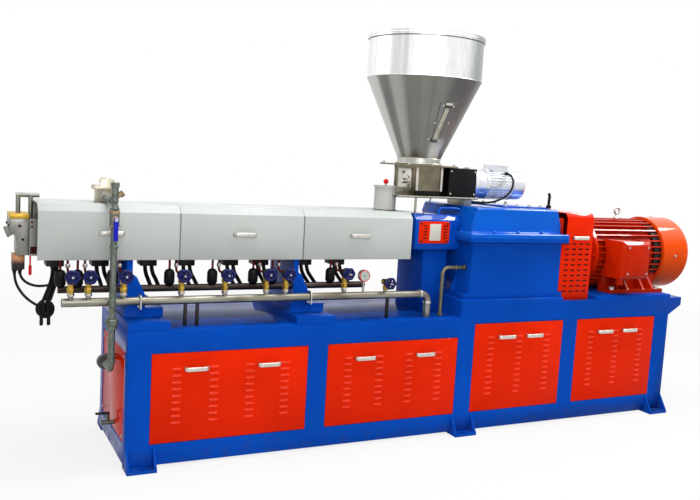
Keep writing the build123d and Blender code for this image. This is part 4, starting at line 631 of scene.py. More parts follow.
def field_tree():
    """Rows and columns of one shape."""
    sockets = {"Start": "Vector", "Columns": "Int", "Column Step": "Vector", "Rows": "Int", "Row Step": "Vector"}
    g, given = new_tree("field", sockets)
    line = {"mode": "OFFSET", "count_mode": "TOTAL"}
    down = {"Count": given["Rows"], "Start Location": given["Start"], "Offset": given["Row Step"]}
    rows = g.node("GeometryNodeMeshLine", line, down)
    columns = g.node("GeometryNodeMeshLine", line, {"Count": given["Columns"], "Offset": given["Column Step"]})
    grid = g.node("GeometryNodeInstanceOnPoints", inputs={"Points": rows, "Instance": columns})
    points = g.node("GeometryNodeRealizeInstances", inputs={0: grid})
    shape = g.node("GeometryNodeObjectInfo", inputs={0: given["Shape"]}, output="Geometry")
    placed = g.node("GeometryNodeInstanceOnPoints", inputs={"Points": points, "Instance": shape})
    return close_tree(g, placed, given["Finish"])


def ring_tree():
    """Shapes round a circle, each turned so that its X points outwards."""
    g, given = new_tree("ring", {"Count": "Int", "Radius": "Float", "Centre": "Vector", "Turn": "Vector"})
    points = g.node("GeometryNodeMeshCircle", inputs={"Vertices": given["Count"], "Radius": given["Radius"]})
    angle = g.node("GeometryNodeInputIndex") * (tau / given["Count"])
    spin = g.node("ShaderNodeCombineXYZ", inputs={2: angle})
    shape = g.node("GeometryNodeObjectInfo", inputs={0: given["Shape"]}, output="Geometry")
    sockets = {"Points": points, "Instance": shape, "Rotation": spin}
    placed = g.node("GeometryNodeInstanceOnPoints", inputs=sockets)
    sockets = {"Geometry": placed, "Translation": given["Centre"], "Rotation": given["Turn"]}
    return close_tree(g, g.node("GeometryNodeTransform", inputs=sockets), given["Finish"])


def grown(tree, unit_mesh, finish, values):
    """Mesh that a tree makes from one shape."""
    unit = link("unit", unit_mesh)
    host = link("host", bpy.data.meshes.new("host"))
    growth = host.modifiers.new("growth", "NODES")
    growth.node_group = tree
    given = {"Shape": unit, "Finish": finish, **values}
    for item in tree.interface.items_tree:
        if item.in_out == "INPUT":
            growth[item.identifier] = given[item.name]
    mesh = plain_mesh(host)
    bpy.data.objects.remove(unit)
    return mesh


field = field_tree()
ring = ring_tree()


def rows_of(unit_mesh, finish, start, columns, column_step, rows=1, row_step=(0.0, 0.0, 0.0)):
    values = {"Start": start, "Columns": columns, "Column Step": column_step, "Rows": rows, "Row Step": row_step}
    return grown(field, unit_mesh, finish, values)


def circle_of(unit_mesh, finish, count, radius, centre, turn=(0, pi / 2, 0)):
    return grown(ring, unit_mesh, finish, {"Count": count, "Radius": radius, "Centre": centre, "Turn": turn})


def repeated(name, finish, *fields):
    """Piece of one or more fields, each a shape with what rows_of needs to place it."""
    piece(name, [rows_of(unit, finish, *places) for unit, *places in fields], finish)


# Units that repeat
def hex_bolt(across, height, along):
    """Bolt head on its washer."""
    corner = across * HEX_CORNER
    forms = Forms().turned([(0, across * 0.64), (height * 0.22, across * 0.62)], (0, 0, 0), along, 14)
    head = [(height * 0.22, corner), (height * 0.85, corner), (height, across * 0.5)]
    return forms.turned(head, (0, 0, 0), along, 6).mesh()


def cap_screw(radius, height, along):
    """Round screw head with a socket in it."""
    profile = [(0, radius), (height * 0.8, radius), (height, radius * 0.85), (height, radius * 0.5)]
    profile.append((height * 0.4, radius * 0.45))
    return Forms().turned(profile, (0, 0, 0), along, 12).mesh()


def louvre(width, height, proud, out):
    """Pressed louvre: a lip that swells from the sheet and is open below."""
    shape = bmesh.new()
    steps = 8
    rows = []
    for z, share in ((0.5, 0), (0.15, 0.55), (-0.3, 1), (-0.42, 0.96), (-0.36, 0)):
        row = []
        for step in range(steps + 1):
            u = 2 * step / steps - 1
            swell = sqrt(max(0, 1 - abs(u) ** 3))
            point = (u * width / 2, out * (proud * share * swell + 0.0001), z * height * (0.35 + 0.65 * swell))
            row.append(shape.verts.new(point))
        rows.append(row)
    for low, high in zip(rows, rows[1:]):
        for step in range(steps):
            shape.faces.new((low[step], low[step + 1], high[step + 1], high[step]))
    bmesh.ops.recalc_face_normals(shape, faces=shape.faces)
    if sum(face.normal.y for face in shape.faces) * out < 0:
        bmesh.ops.reverse_faces(shape, faces=shape.faces)
    return mesh_of(shape)


def slot_inlay(length, height, rise, out):
    """Dark slot with round ends, along X: painted shade in an opening. It is high along the rise and faces out."""
    points = []
    for side in (1, -1):
        for step in range(7):
            angle = pi * (step / 6 - 0.5)
            x = side * (length / 2 - height / 2 + height / 2 * cos(angle))
            points.append(Vector((x, 0, 0)) + Vector(rise) * (side * height / 2 * sin(angle)))
    return Forms().prism(points, Vector(out) * 0.0006).mesh()


def pipe_line(name, points, radius):
    """Round line through a route's points."""
    line = bpy.data.curves.new(name, "CURVE")
    line.dimensions = "3D"
    line.bevel_depth = radius
    line.bevel_resolution = 5
    line.use_fill_caps = True
    line.resolution_u = 10
    spline = line.splines.new("NURBS")
    spline.points.add(len(points) - 1)
    for knot, point in zip(spline.points, points):
        knot.co = (*point, 1)
    spline.order_u = 3
    spline.use_endpoint_u = True
    return line


def bent_bar(points, radius):
    return smoothed(plain_mesh(link("bar", pipe_line("bar", points, radius))))


# Rounded copies of what has sharp edges in CAD, by width, edge finish and the heights that stay flush
for width, edge, flush, names in (
    (0.005, blue_edge, (0.78,), ["base_frame"]),
    (0.0025, blue_edge, (0,), ["foot_brackets"]),
    (0.006, blue_edge, (0.78,), ["bedplates"]),
    (0.006, blue_edge, (1.168, 0.804), ["gearbox_housing"]),
    (0.008, blue_edge, (1.168,), ["gearbox_cover"]),
    (0.007, blue_edge, (), ["lantern"]),
    (0.004, blue_edge, (), ["lantern_pedestal"]),
    (0.003, blue_edge, (0.7,), ["barrel_supports"]),
    (0.0015, red_edge, (), ["lantern_covers", "coupling_guard"]),
    (0.0018, red_edge, (), ["front_panels", "rear_panels", "end_panels"]),
    (0.0015, grey_edge, (), ["barrel_cover_1", "barrel_cover_2", "barrel_cover_3"]),
    (0.005, motor_edge, (), ["motor_terminal_box"]),
    (0.0035, None, (), ["bow_handles"]),
    (0.001, None, (), ["feeder_stand", "feeder_box"]),
    (0.002, None, (), ["die_heaters", "vacuum_port", "valve_lever", "drain_tap_handle"]),
    (0.003, None, (), ["die_head", "feeder_guard"]),
    (0.004, None, (), ["heater_boxes"]),
    (0.009, None, (), ["solenoid_coils"]),
):
    for name in names:
        softened(name, width, edge, flush)


# Louvred panels of the base
def panel_louvres(side):
    unit = louvre(0.048, 0.013, 0.005, side)
    fields = []
    for start, width, top_z in PANELS:
        wide = width > 0.7
        first = (start + (0.129 if wide else 0.122), side * PANEL_FACE, top_z)
        step = (0.194 if wide else 0.212, 0, 0)
        columns, rows = (4, 9) if wide else (3, 11)
        fields.append((unit.copy(), first, columns, step, rows, (0, 0, -0.0345)))
    return fields


repeated("front_louvres", louvre_red, *panel_louvres(-1))
repeated("rear_louvres", louvre_red, *panel_louvres(1))
end_screws = []
for face_x, along, rise in ((-1.67, LEFT, 0.405), (1.928, RIGHT, 0.48)):
    unit = cap_screw(0.008, 0.004, along)
    end_screws.append((unit, (face_x, -0.262, 0.15), 2, (0, 0.524, 0), 2, (0, 0, rise)))
repeated("end_panel_screws", screw_steel, *end_screws)

# Gearbox: bolts on the split flange, nuts and plate on top, breather and oil pipe
flange_bolts = []
for y in (-0.331, 0.331):
    flange_bolts.append((hex_bolt(0.024, 0.014, UP), (0.452, y, FLANGE_TOP), 3, (0.177, 0, 0)))
for x in (0.297, 1):
    flange_bolts.append((hex_bolt(0.024, 0.014, UP), (x, -0.22, FLANGE_TOP), 3, (0, 0.22, 0)))
repeated("flange_bolts", cover_blue, *flange_bolts)
piece("gearbox_top_plate", Forms().box((0.605, -0.2, GEAR_TOP), (0.945, 0.2, PLATE_TOP), 0.002), cover_blue)
top_nuts = (hex_bolt(0.018, 0.012, UP), (0.635, -0.18, PLATE_TOP), 4, (0.09, 0, 0), 2, (0, 0.36, 0))
repeated("gearbox_top_nuts", screw_steel, top_nuts)
hose = [(0.962, -0.19, 1.36), (0.962, -0.19, 1.4), (0.966, -0.19, 1.425), (0.957, -0.19, 1.44)]
breather = [bent_bar(hose, 0.009), Forms().hexagon((0.962, -0.19, GEAR_TOP), UP, 0.03, 0.02)]
piece("gearbox_breather", breather, black_plastic)
arch = ((0.185, 1.287), (0.187, 1.322), (0.205, 1.325), (0.28, 1.325), (0.325, 1.322), (0.352, 1.305), (0.365, 1.285))
piece("lubrication_pipe", bent_bar([(x, -0.13, z) for x, z in arch], 0.0085), cover_blue)
oil_nuts = Forms().hexagon((0.24, -0.264, 0.985), RIGHT, 0.026, 0.016)
oil_nuts.hexagon((0.296, -0.264, 0.985), RIGHT, 0.03, 0.016).hexagon((0.155, -0.264, 0.7), UP, 0.03, 0.014)
piece("oil_pipe_nuts", oil_nuts, olive_pipe)

# Lantern cover: corner screws, dark slots of painted shade under its louvres, and a blank plate on each side
lantern_screws, lantern_slots, plates = [], [], Forms()
for side, along in zip(SIDES, (FRONT, BACK)):
    face = side * LANTERN_FACE
    unit = cap_screw(0.0065, 0.004, along)
    lantern_screws.append((unit, (0.034, face, 1.132), 2, (0.18, 0, 0), 2, (0, 0, 0.104)))
    unit = slot_inlay(0.028, 0.007, UP, along)
    lantern_slots.append((unit, (0.062, face, 1.222), 2, (0.138, 0, 0), 5, (0, 0, -0.0175)))
    low, high = sorted((face, face + side * 0.0012))
    plates.box((0.092, low, 1.136), (0.168, high, 1.234), 0.0005)
repeated("lantern_screws", black_iron, *lantern_screws)
repeated("lantern_slots", slot_black, *lantern_slots)
piece("lantern_blank_plates", plates, blank_plate)

# Coupling guard: dark slots of painted shade on both sides, and its end wall
guard_slots = []
for side, along in zip(SIDES, (FRONT, BACK)):
    unit = slot_inlay(0.034, 0.0095, UP, along)
    guard_slots.append((unit, (1.032, side * GUARD_FACE, 1.136), 4, (0.054, 0, 0), 10, (0, 0, -0.0334)))
repeated("guard_slots", slot_black, *guard_slots)
piece("guard_end", Forms().box((0.9862, -0.313, 1.1975), (0.9885, 0.313, 1.292), 0.0008), red_enamel)

# Motor: lifting eye, bolts, terminal-box lid, feet, and the cowl's grille as dark slots of painted shade
eye = Forms().turned([(0, 0.024), (0.018, 0.022), (0.026, 0.013), (0.034, 0.011)], (EYE_X, 0, 1.272), UP)
piece("lifting_eye", eye.loop((EYE_X, 0, 1.334), BACK, 0.022, 0.0075), screw_steel)
bell_bolts = circle_of(hex_bolt(0.02, 0.012, DOWN), motor_enamel, 8, 0.219, (1.351, 0, MOTOR_Z))
piece("motor_bell_bolts", [bell_bolts], motor_enamel)
cowl_bolts = circle_of(hex_bolt(0.016, 0.009, RIGHT), screw_steel, 4, 0.247, (2.052, 0, MOTOR_Z))
piece("motor_cowl_bolts", [cowl_bolts], screw_steel)
grille = []
for count, radius, length in ((32, 0.15, 0.056), (18, 0.082, 0.05)):
    unit = slot_inlay(length, 0.009, BACK, UP)
    grille.append(circle_of(unit, slot_black, count, radius, (2.213, 0, MOTOR_Z)))
piece("motor_cowl_grille", grille, slot_black)
lid = Forms().box((1.456, TERMINAL_FACE, 0.94), (1.646, -0.399, 1.135), 0.0015)
piece("motor_terminal_lid", lid, motor_enamel)
lid_screws = (cap_screw(0.007, 0.004, FRONT), (1.469, TERMINAL_FACE, 0.953), 2, (0.164, 0, 0), 2, (0, 0, 0.169))
repeated("motor_terminal_screws", screw_steel, lid_screws)
foot_bolts = (hex_bolt(0.03, 0.018, UP), (1.497, -0.245, 0.828), 2, (0.4, 0, 0), 2, (0, 0.49, 0))
repeated("motor_foot_bolts", screw_steel, foot_bolts)
# Black ring under the fins by the cowl: painted shade in the air gap.
gap = Forms().turned([(0, 0.21), (0.004, 0.2215), (0.066, 0.2215)], (1.884, 0, MOTOR_Z), RIGHT, 72)
piece("motor_air_gap", gap, black_iron)
ribs = Forms()
for side in SIDES:
    for x in (1.535, 1.62, 1.76, 1.845):
        outline = ((0.268, 0.826), (0.17, 0.826), (0.16, 0.93), (0.185, 0.93))
        ribs.prism([(x, side * y, z) for y, z in outline], (0.014, 0, 0))
piece("motor_foot_ribs", ribs, motor_enamel)

# Feeder: plate bolts, posts, shaft end, sleeve, gearmotor fins and terminal lid
plate_bolts = (hex_bolt(0.016, 0.01, UP), (HOPPER_X - 0.155, -0.155, 1.576), 3, (0.155, 0, 0), 2, (0, 0.31, 0))
shaft_bolts = (hex_bolt(0.014, 0.009, LEFT), (0.009, 0.013, 1.466), 1, (0, 0, 0), 2, (0, 0, 0.06))
repeated("feeder_bolts", screw_steel, plate_bolts, shaft_bolts)
posts = Forms()
for x in (0.013, 0.18):
    for low, high in ((-0.137, -0.129), (0.129, 0.137)):
        posts.box((x, low, 1.423), (x + 0.014, high, 1.566), 0.0015)
posts.loop((HOPPER_X, 0, 1.581), UP, 0.135, 0.0055, 56)
posts.loop((HOPPER_X, 0, CONE_LOW), UP, NECK_RADIUS + 0.0005, 0.0022, 56, 6)
piece("feeder_posts", posts, bright_alloy)
# Black strips under the feeder box and in the saddle gap: painted shadow.
strips = Forms().box((-0.103, -0.147, 1.3815), (0.447, 0.147, 1.386))
for low, high in ((-0.128, -0.098), (0.098, 0.128)):
    strips.box((0.02, low, 1.393), (0.183, high, 1.4235))
piece("feeder_base_strips", strips, black_plastic)
shaft = Forms().box((0.009, -0.075, 1.435), (0.019, 0.075, 1.552), 0.002)
steps = [(0, 0.034), (0.006, 0.034), (0.008, 0.016), (0.03, 0.016), (0.034, 0.012)]
piece("feeder_shaft_end", shaft.turned(steps, (0.009, -0.03, FEEDER_Z), LEFT), bright_alloy)
steps = [(0, 0.05), (0.006, 0.0545), (0.02, 0.0545), (0.022, 0.0505), (0.034, 0.0505), (0.036, 0.0545), (0.05, 0.05)]
piece("feeder_sleeve", Forms().turned(steps, (0.192, 0, FEEDER_Z), RIGHT, 32), copper)
guard_screws = (cap_screw(0.006, 0.003, FRONT), (0.264, -0.12, 1.412), 2, (0.171, 0, 0), 2, (0, 0, 0.135))
repeated("feeder_guard_screws", screw_steel, guard_screws)
steps = [(0, 0.09), (0.01, 0.096), (0.02, 0.096), (0.024, 0.088), (0.08, 0.088), (0.084, 0.093), (0.098, 0.093)]
case = Forms().turned(steps, (0.476, 0, FEEDER_Z), RIGHT, 48)
case.box((0.612, -0.058, 1.5915), (0.728, 0.058, 1.598), 0.002)
case.turned([(0, 0.088), (0.005, 0.094), (0.012, 0.094), (0.017, 0.088)], (0.758, 0, FEEDER_Z), RIGHT, 48)
fin = Forms().box((0, -0.0017, 0), (0.0115, 0.0017, 0.18), 0.0008).mesh()
fins = circle_of(fin, cast_alloy, 30, 0.0825, (0.576, 0, FEEDER_Z))
piece("feeder_motor_case", [case, fins], cast_alloy)
unit = cap_screw(0.0045, 0.003, UP)
box_screws = rows_of(unit, screw_steel, (0.62, -0.05, 1.598), 2, (0.1, 0, 0), 2, (0, 0.1, 0))
flange_screws = circle_of(hex_bolt(0.012, 0.008, DOWN), screw_steel, 6, 0.094, (0.449, 0, FEEDER_Z))
piece("feeder_motor_screws", [box_screws, flange_screws], screw_steel)
# Fan grille: dark slots, painted shade in its openings.
unit = slot_inlay(0.04, 0.006, BACK, UP)
piece("feeder_fan_grille", [circle_of(unit, black_plastic, 20, 0.046, (0.858, 0, FEEDER_Z))], black_plastic)
rod = [(0.114, -0.148, 1.388), (0.105, -0.148, 1.35), (0.064, -0.146, 1.286)]
piece("feeder_rod", bent_bar(rod, 0.004), dark_steel)


# Hopper: seams, and the sight strip with its clamps
def cone_radius(z):
    return NECK_RADIUS + CONE_SLOPE * (z - CONE_LOW)


def cone_out(turn):
    """Direction straight out of the cone's face."""
    return Vector((cos(radians(turn)), sin(radians(turn)), -CONE_SLOPE)).normalized()


def cone_point(turn, z, proud=0.0045):
    """Point on the cone's outer face, a little proud of it."""
    reach = Vector((cos(radians(turn)), sin(radians(turn)), 0)) * cone_radius(z)
    return Vector((HOPPER_X, 0, z)) + reach + cone_out(turn) * proud


seams = Forms().loop((HOPPER_X, 0, CONE_TOP), UP, HOPPER_RADIUS + 0.0005, 0.0022, 96, 6)
seams.loop((HOPPER_X, 0, WALL_TOP + 0.014), UP, HOPPER_RADIUS + 0.0062, 0.0022, 96, 6)
piece("hopper_seams", seams, steel_sheet)
groove = Forms().loop((HOPPER_X, 0, WALL_TOP - 0.002), UP, HOPPER_RADIUS + 0.0005, 0.0035, 96, 6)
piece("hopper_lid_groove", groove, groove_steel)
for name, ends, half, out_turn, thickness, finish in (
    ("sight_strip", ((-95.5, 1.722), (-88.4, 1.911)), 0.0125, -91, 0.004, strip_glass),
    ("sight_cap", ((-88, 1.935), (-88, 1.923)), 0.022, -88, 0.008, blank_plate),
    ("sight_clamp_top", ((-88.2, 1.9235), (-88.2, 1.908)), 0.018, -88.2, 0.008, dark_steel),
    ("sight_clamp_foot", ((-95.5, 1.726), (-95.5, 1.712)), 0.017, -95.5, 0.008, dark_steel),
):
    corners = []
    for side, edge in zip(SIDES, (ends, ends[::-1])):
        corners += [cone_point(turn + side * degrees(half / cone_radius(z)), z) for turn, z in edge]
    piece(name, Forms().prism(corners, cone_out(out_turn) * thickness), finish)
screws = Forms()
for turn, z in ((-95, 1.918), (-80, 1.918), (-101, 1.82), (-78.5, 1.825), (-106, 1.727), (-84, 1.723)):
    screws.turned([(0, 0.0055), (0.002, 0.0055), (0.0035, 0.003)], cone_point(turn, z, 0.0048), cone_out(turn), 12)
piece("sight_screws", screws, bright_alloy)

# Openings on the covers, and the vacuum pipe
seam_strips = Forms()
for x in (-1.38975, -0.70675):
    for side in SIDES:
        outline = ((-0.0035, 1.026), (0.0035, 1.026), (0.0035, 1.262), (-0.0035, 1.262))
        seam_strips.prism([(x + dx, side * COVER_FACE, z) for dx, z in outline], (0, side * -0.001, 0))
piece("cover_seams", seam_strips, groove_steel)
piece("vent_knob", Forms().ball((VENT_X, 0, 1.465), 0.0156), knob_red)
lines = Forms().loop((VENT_X, 0, 1.4395), UP, 0.0648, 0.0016, 48, 6)
piece("vent_lines", lines.loop((VENT_X, 0, 1.299), UP, 0.0655, 0.003, 48, 6), dark_steel)
port = Forms().hexagon((PIPE_X, 0, 1.4155), UP, 0.018, 0.008)
for x in (PIPE_X - 0.042, PIPE_X + 0.042):
    for y in (-0.042, 0.042):
        port.hexagon((x, y, 1.378), UP, 0.014, 0.009)
port.turned([(0, 0.021), (0.014, 0.022), (0.016, 0.018)], (PIPE_X, -0.052, 1.324), BACK)
piece("vacuum_port_bolts", port, screw_steel)
collar = [(0, 0.0205), (0.003, 0.0225), (0.011, 0.0225), (0.014, 0.0195)]
fittings = Forms().turned(collar, (PIPE_X, PIPE_Y, 1.281), UP).turned(collar, (PIPE_X, PIPE_Y, 0.542), UP)
fittings.turned(collar, (PIPE_X, PIPE_Y + 0.032, 1.324), BACK)
fittings.turned([(0, 0.0195), (0.002, 0.0215), (0.009, 0.0215), (0.012, 0.0185)], (PIPE_X, PIPE_Y, 1.1), UP)
fittings.hexagon((PIPE_X, PIPE_Y, 0.727), UP, 0.054, 0.03)
stub = [(0, 0.0165), (0.072, 0.0165), (0.074, 0.0205), (0.092, 0.0205), (0.096, 0.016)]
piece("standpipe_fittings", fittings.turned(stub, (PIPE_X, PIPE_Y, 1.318), UP), zinc_pipe)
valve = Forms().hexagon((PIPE_X, PIPE_Y, 1.2), UP, 0.042, 0.012).hexagon((PIPE_X, PIPE_Y, 1.262), UP, 0.044, 0.016)
valve.turned([(0, 0.016), (0.004, 0.0155), (0.006, 0.012), (0.013, 0.012)], (PIPE_X, -0.333, LEVER_Z), FRONT)
branch = [(0, 0.01), (0.026, 0.01), (0.027, 0.015), (0.046, 0.015), (0.048, 0.011)]
piece("ball_valve_body", valve.turned(branch, (PIPE_X, PIPE_Y, 1.338), (0.8, -0.2, 0.6)), rusty_brass)
steps = [(0, 0.033), (0.003, 0.0366), (0.014, 0.0366), (0.016, 0.034)]
steps += [(0.018, 0.0366), (0.028, 0.0366), (0.031, 0.033)]
piece("standpipe_collar", Forms().turned(steps, (PIPE_X, -0.1555, 0.505), BACK), dark_steel)
lever_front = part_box("valve_lever")[0].y
lever_nut = Forms().hexagon((PIPE_X, lever_front, LEVER_Z), FRONT, 0.015, 0.006)
piece("valve_lever_nut", lever_nut, screw_steel, "valve_lever")

# Die: dark patches of painted shade for the holes in its face, bolts and the thermocouple
holes = Forms().box((-2.095, -0.106, 1.046), (-2.067, -0.098, 1.08), 0.002)
for x, y, z, radius in (
    (-2.142, -0.088, 1.178, 0.007),
    (-2.127, -0.088, 1.113, 0.007),
    (-2.088, -0.1, 1.198, 0.006),
    (-2.088, -0.1, 1.176, 0.006),
):
    holes.turned([(0, radius), (0.0006, radius)], (x, y, z), FRONT, 16)
piece("die_holes", holes, slot_black)
sensor = Forms().turned([(0, 0.004), (0.06, 0.004)], SENSOR, DOWN, 14)
sensor.turned([(0.052, 0.005), (0.056, 0.0075), (0.096, 0.0075), (0.101, 0.005)], SENSOR, DOWN, 16)
piece("thermocouple", sensor, knob_red)
die_bolts = (cap_screw(0.007, 0.006, LEFT), (-2.187, -0.062, 1.128), 2, (0, 0.124, 0), 2, (0, 0, 0.052))
repeated("die_bolts", black_iron, die_bolts)

# Cooling water: nuts, bonnet and coil at every valve, unions, clips, conduits and legs
brass_nuts, steel_nuts, bonnets, housings = Forms(), Forms(), Forms(), Forms()
bonnet = [(0, 0.026), (0.003, 0.029), (0.018, 0.029), (0.028, 0.022), (0.034, 0.011)]
coil = [(0, 0.014), (0.004, 0.02), (0.014, 0.027), (0.064, 0.027), (0.078, 0.021), (0.084, 0.01)]
for x in STATIONS:
    brass_nuts.hexagon((x, MANIFOLD_Y, 0.884), UP, 0.032, 0.02).hexagon((x, MANIFOLD_Y, 0.92), UP, 0.033, 0.018)
    steel_nuts.hexagon((x, MANIFOLD_Y, 0.862), UP, 0.031, 0.014).hexagon((x, RETURN_Y, 0.985), UP, 0.02, 0.018)
    steel_nuts.hexagon((x, STEM_NUT_Y, VALVE_Z), FRONT, 0.022, 0.009)
    bonnets.turned(bonnet, (x, BONNET_Y, VALVE_Z), FRONT)
    housings.turned(coil, (x - 0.034, RETURN_Y, 0.89), UP)
brass_nuts.hexagon((LOW_STATION, MANIFOLD_Y, 0.866), UP, 0.032, 0.018)
brass_nuts.hexagon((LOW_STATION, STEM_NUT_Y, LOW_VALVE_Z), FRONT, 0.026, 0.009)
bonnets.turned([(0, 0.022), (0.018, 0.022), (0.028, 0.011)], (LOW_STATION, BONNET_Y, LOW_VALVE_Z), FRONT)
union = [(0, 0.0215), (0.003, 0.0255), (0.012, 0.0255), (0.015, 0.0215)]
steel_nuts.turned(union, (0.003, MANIFOLD_Y, MANIFOLD_Z), RIGHT).turned(union, (0.061, MANIFOLD_Y, 0.775), UP)
clips = [steel_nuts]
for x in (-1.601, -0.688):
    hoop = [(-0.292, 0.795), (-0.292, 0.85), (-0.28, 0.861), (-0.265, 0.862), (-0.25, 0.861), (-0.238, 0.85)]
    clips.append(bent_bar([(x, y, z) for y, z in (*hoop, (-0.238, 0.795))], 0.0045))
conduits, legs = [], Forms()
for x in CONDUIT_BOXES:
    for dx, foot in ((-0.016, -0.006), (0.018, 0.034)):
        route = [(x + dx, -0.03, 0.98), (x + dx, -0.036, 0.945), (x + foot, -0.075, 0.905), (x + foot, -0.128, 0.884)]
        conduits.append(bent_bar(route, 0.0105))
for x in (-1.372, -1.31, -0.205):
    legs.box((x - 0.008, MANIFOLD_Y - 0.008, 0.7), (x + 0.008, MANIFOLD_Y + 0.008, 0.815), 0.0015)
for name, form, finish in (
    ("valve_nuts", brass_nuts, brass),
    ("pipe_clips", clips, screw_steel),
    ("valve_bonnets", bonnets, black_iron),
    ("coil_housings", housings, black_plastic),
    ("heater_conduits", conduits, black_plastic),
    ("manifold_legs", legs, black_iron),
):
    piece(name, form, finish)


def lobed_wheel(x, z):
    """Handwheel with a lobed rim on five spokes."""
    wheel = Forms().loop((x, WHEEL_Y, z), FRONT, 0.0272, 0.0078, 60, 10, 6, 0.0014)
    wheel.turned([(0, 0.0085), (0.003, 0.01), (0.013, 0.01), (0.016, 0.0075)], (x, HUB_Y, z), FRONT, 20)
    for spoke in range(5):
        angle = tau * spoke / 5 + pi / 2
        wheel.turned([(0.006, 0.0078), (0.027, 0.0058)], (x, WHEEL_Y, z), (cos(angle), 0, sin(angle)), 8)
    return wheel


for index, x in enumerate((*STATIONS, LOW_STATION), 1):
    z = LOW_VALVE_Z if x == LOW_STATION else VALVE_Z
    body = f"handwheel_{index}"
    piece(body + "_dressed", lobed_wheel(x, z), wheel_enamel, body, (body,))
    piece(body + "_nut", Forms().hexagon((x, -0.33, z), FRONT, 0.01, 0.005), screw_steel, body)

# Gauge
piece("gauge_dial", Forms().turned([(0, 0.0285), (0.001, 0.0285)], GAUGE, FRONT, 40), dial_face)
piece("gauge_rim", Forms().loop(GAUGE, FRONT, 0.0305, 0.0026, 48, 8), knob_red)
tick = Forms().box((-0.0022, -0.00045, 0.001), (0.0022, 0.00045, 0.0014), 0.0001).mesh()
marks = circle_of(tick, black_plastic, 20, 0.0235, GAUGE, (pi / 2, 0, 0))
outline = ((-0.013, -0.01), (0.003, 0.001), (0.001, 0.003))
needle = Forms().prism([GAUGE + Vector((x, -0.0016, z)) for x, z in outline], (0, -0.0005, 0))
needle.turned([(0, 0.003), (0.002, 0.0026)], GAUGE + Vector((0, -0.001, 0)), FRONT, 14)
piece("gauge_marks", [marks, needle], black_plastic)


# Cables
def cable(name, node, points, radius):
    """Loose cable on the same route as its CAD node."""
    line = pipe_line(name, points, radius)
    line.materials.append(cable_rubber)
    made = link(name, line)
    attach(made, "machine")
    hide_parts(node)


LEAD_RADIUS = 0.0065
LEAD_1 = [(-2.157, -0.012, 0.961), (-2.157, -0.012, 0.929), (-2.151, -0.016, 0.893), (-2.133, -0.022, 0.855)]
LEAD_1 += [(-2.105, -0.028, 0.819), (-2.073, -0.032, 0.793), (-2.043, -0.034, 0.775)]
LEAD_2 = [(-2.131, 0.006, 0.961), (-2.131, 0.006, 0.931), (-2.117, 0.001, 0.903), (-2.089, -0.007, 0.883)]
LEAD_2 += [(-2.055, -0.015, 0.874), (-2.021, -0.022, 0.875), (-1.991, -0.026, 0.881)]
TRUNK = [(-1.973, -0.02, 0.975), (-1.973, -0.02, 0.935), (-1.981, -0.024, 0.895)]
TRUNK += [(-1.997, -0.029, 0.849), (-2.015, -0.034, 0.803)]
FEEDER_CABLE = [(0.713, -0.055, 1.546), (0.713, -0.084, 1.546), (0.713, -0.116, 1.534), (0.711, -0.141, 1.506)]
FEEDER_CABLE += [(0.701, -0.152, 1.47), (0.677, -0.156, 1.434), (0.641, -0.156, 1.404), (0.597, -0.146, 1.381)]
FEEDER_CABLE += [(0.555, -0.124, 1.367), (0.517, -0.096, 1.363), (0.481, -0.074, 1.365), (0.444, -0.074, 1.365)]

glands = Forms()
taper = ((-0.003, 2), (0.009, 2), (0.011, 1.5), (0.026, 1.15), (0.03, 1.02))
for place, along in ((LEAD_1[0], DOWN), (LEAD_2[0], DOWN), (FEEDER_CABLE[0], FRONT)):
    glands.turned([(distance, LEAD_RADIUS * share) for distance, share in taper], place, along, 20)
steps = [(-0.003, 0.021), (0.009, 0.021), (0.011, 0.0185), (0.03, 0.0158), (0.036, 0.0143)]
piece("cable_glands", glands.turned(steps, TRUNK[0], DOWN, 24), black_plastic)

BUNCH = Vector((-2.015, -0.034, 0.766))
loops = []
for wide, high, y, lean in (
    (0.034, 0.044, -0.012, 0.004),
    (0.037, 0.042, -0.002, -0.003),
    (0.031, 0.045, 0.009, 0),
    (0.022, 0.034, -0.006, 0.003),
    (0.017, 0.03, 0.004, -0.004),
    (0.011, 0.024, -0.014, 0.001),
    (0.003, 0.016, 0.003, 0),
):
    half = [(0.012, 0.036), (wide, 0.02), (wide, -0.02), (0.014, -high)]
    points = [(-x, z) for x, z in half] + half[::-1]
    loops.append(bent_bar([BUNCH + Vector((x + lean, y, z)) for x, z in points], 0.006))
for start, y, end in ((-0.013, -0.012, -0.016), (0.012, -0.014, 0.018), (-0.004, -0.019, 0.004), (0.015, 0.004, 0.026)):
    points = []
    for step, point in enumerate(TRUNK):
        share = step / (len(TRUNK) - 1)
        points.append(Vector(point) + Vector((start + (end - start) * share, y, 0)))
    loops.append(bent_bar(points, 0.005))
plugs = Forms().loop((BUNCH.x, BUNCH.y, 0.8), UP, 0.0235, 0.0028, 32, 8)
steps = [(0, 0.006), (0.004, 0.009), (0.018, 0.009), (0.02, 0.0075), (0.023, 0.009), (0.044, 0.009), (0.05, 0.007)]
for x in (-0.017, 0.017):
    plugs.turned(steps, (BUNCH.x + x, BUNCH.y, 0.729), DOWN, 16)
bunch = piece("cable_bunch_dressed", loops + [plugs], cable_rubber, "machine", ("cable_bunch",))
cable("die_lead_1_cable", "die_lead_1", LEAD_1, LEAD_RADIUS)
cable("die_lead_2_cable", "die_lead_2", LEAD_2, LEAD_RADIUS)
cable("trunk_line", "trunk_cable", TRUNK, 0.014)
cable("feeder_line", "feeder_cable", FEEDER_CABLE, LEAD_RADIUS)


# Camera, floor and light
def camera():
    lens = bpy.data.cameras.new("camera")
    lens.lens = 42.647
    made = link("camera", lens)
    made.location = (-2.5013, -4.3188, 1.5894)
    made.rotation_euler = Euler([radians(angle) for angle in (83.683, -3.272, -26.366)])
    bpy.context.scene.camera = made


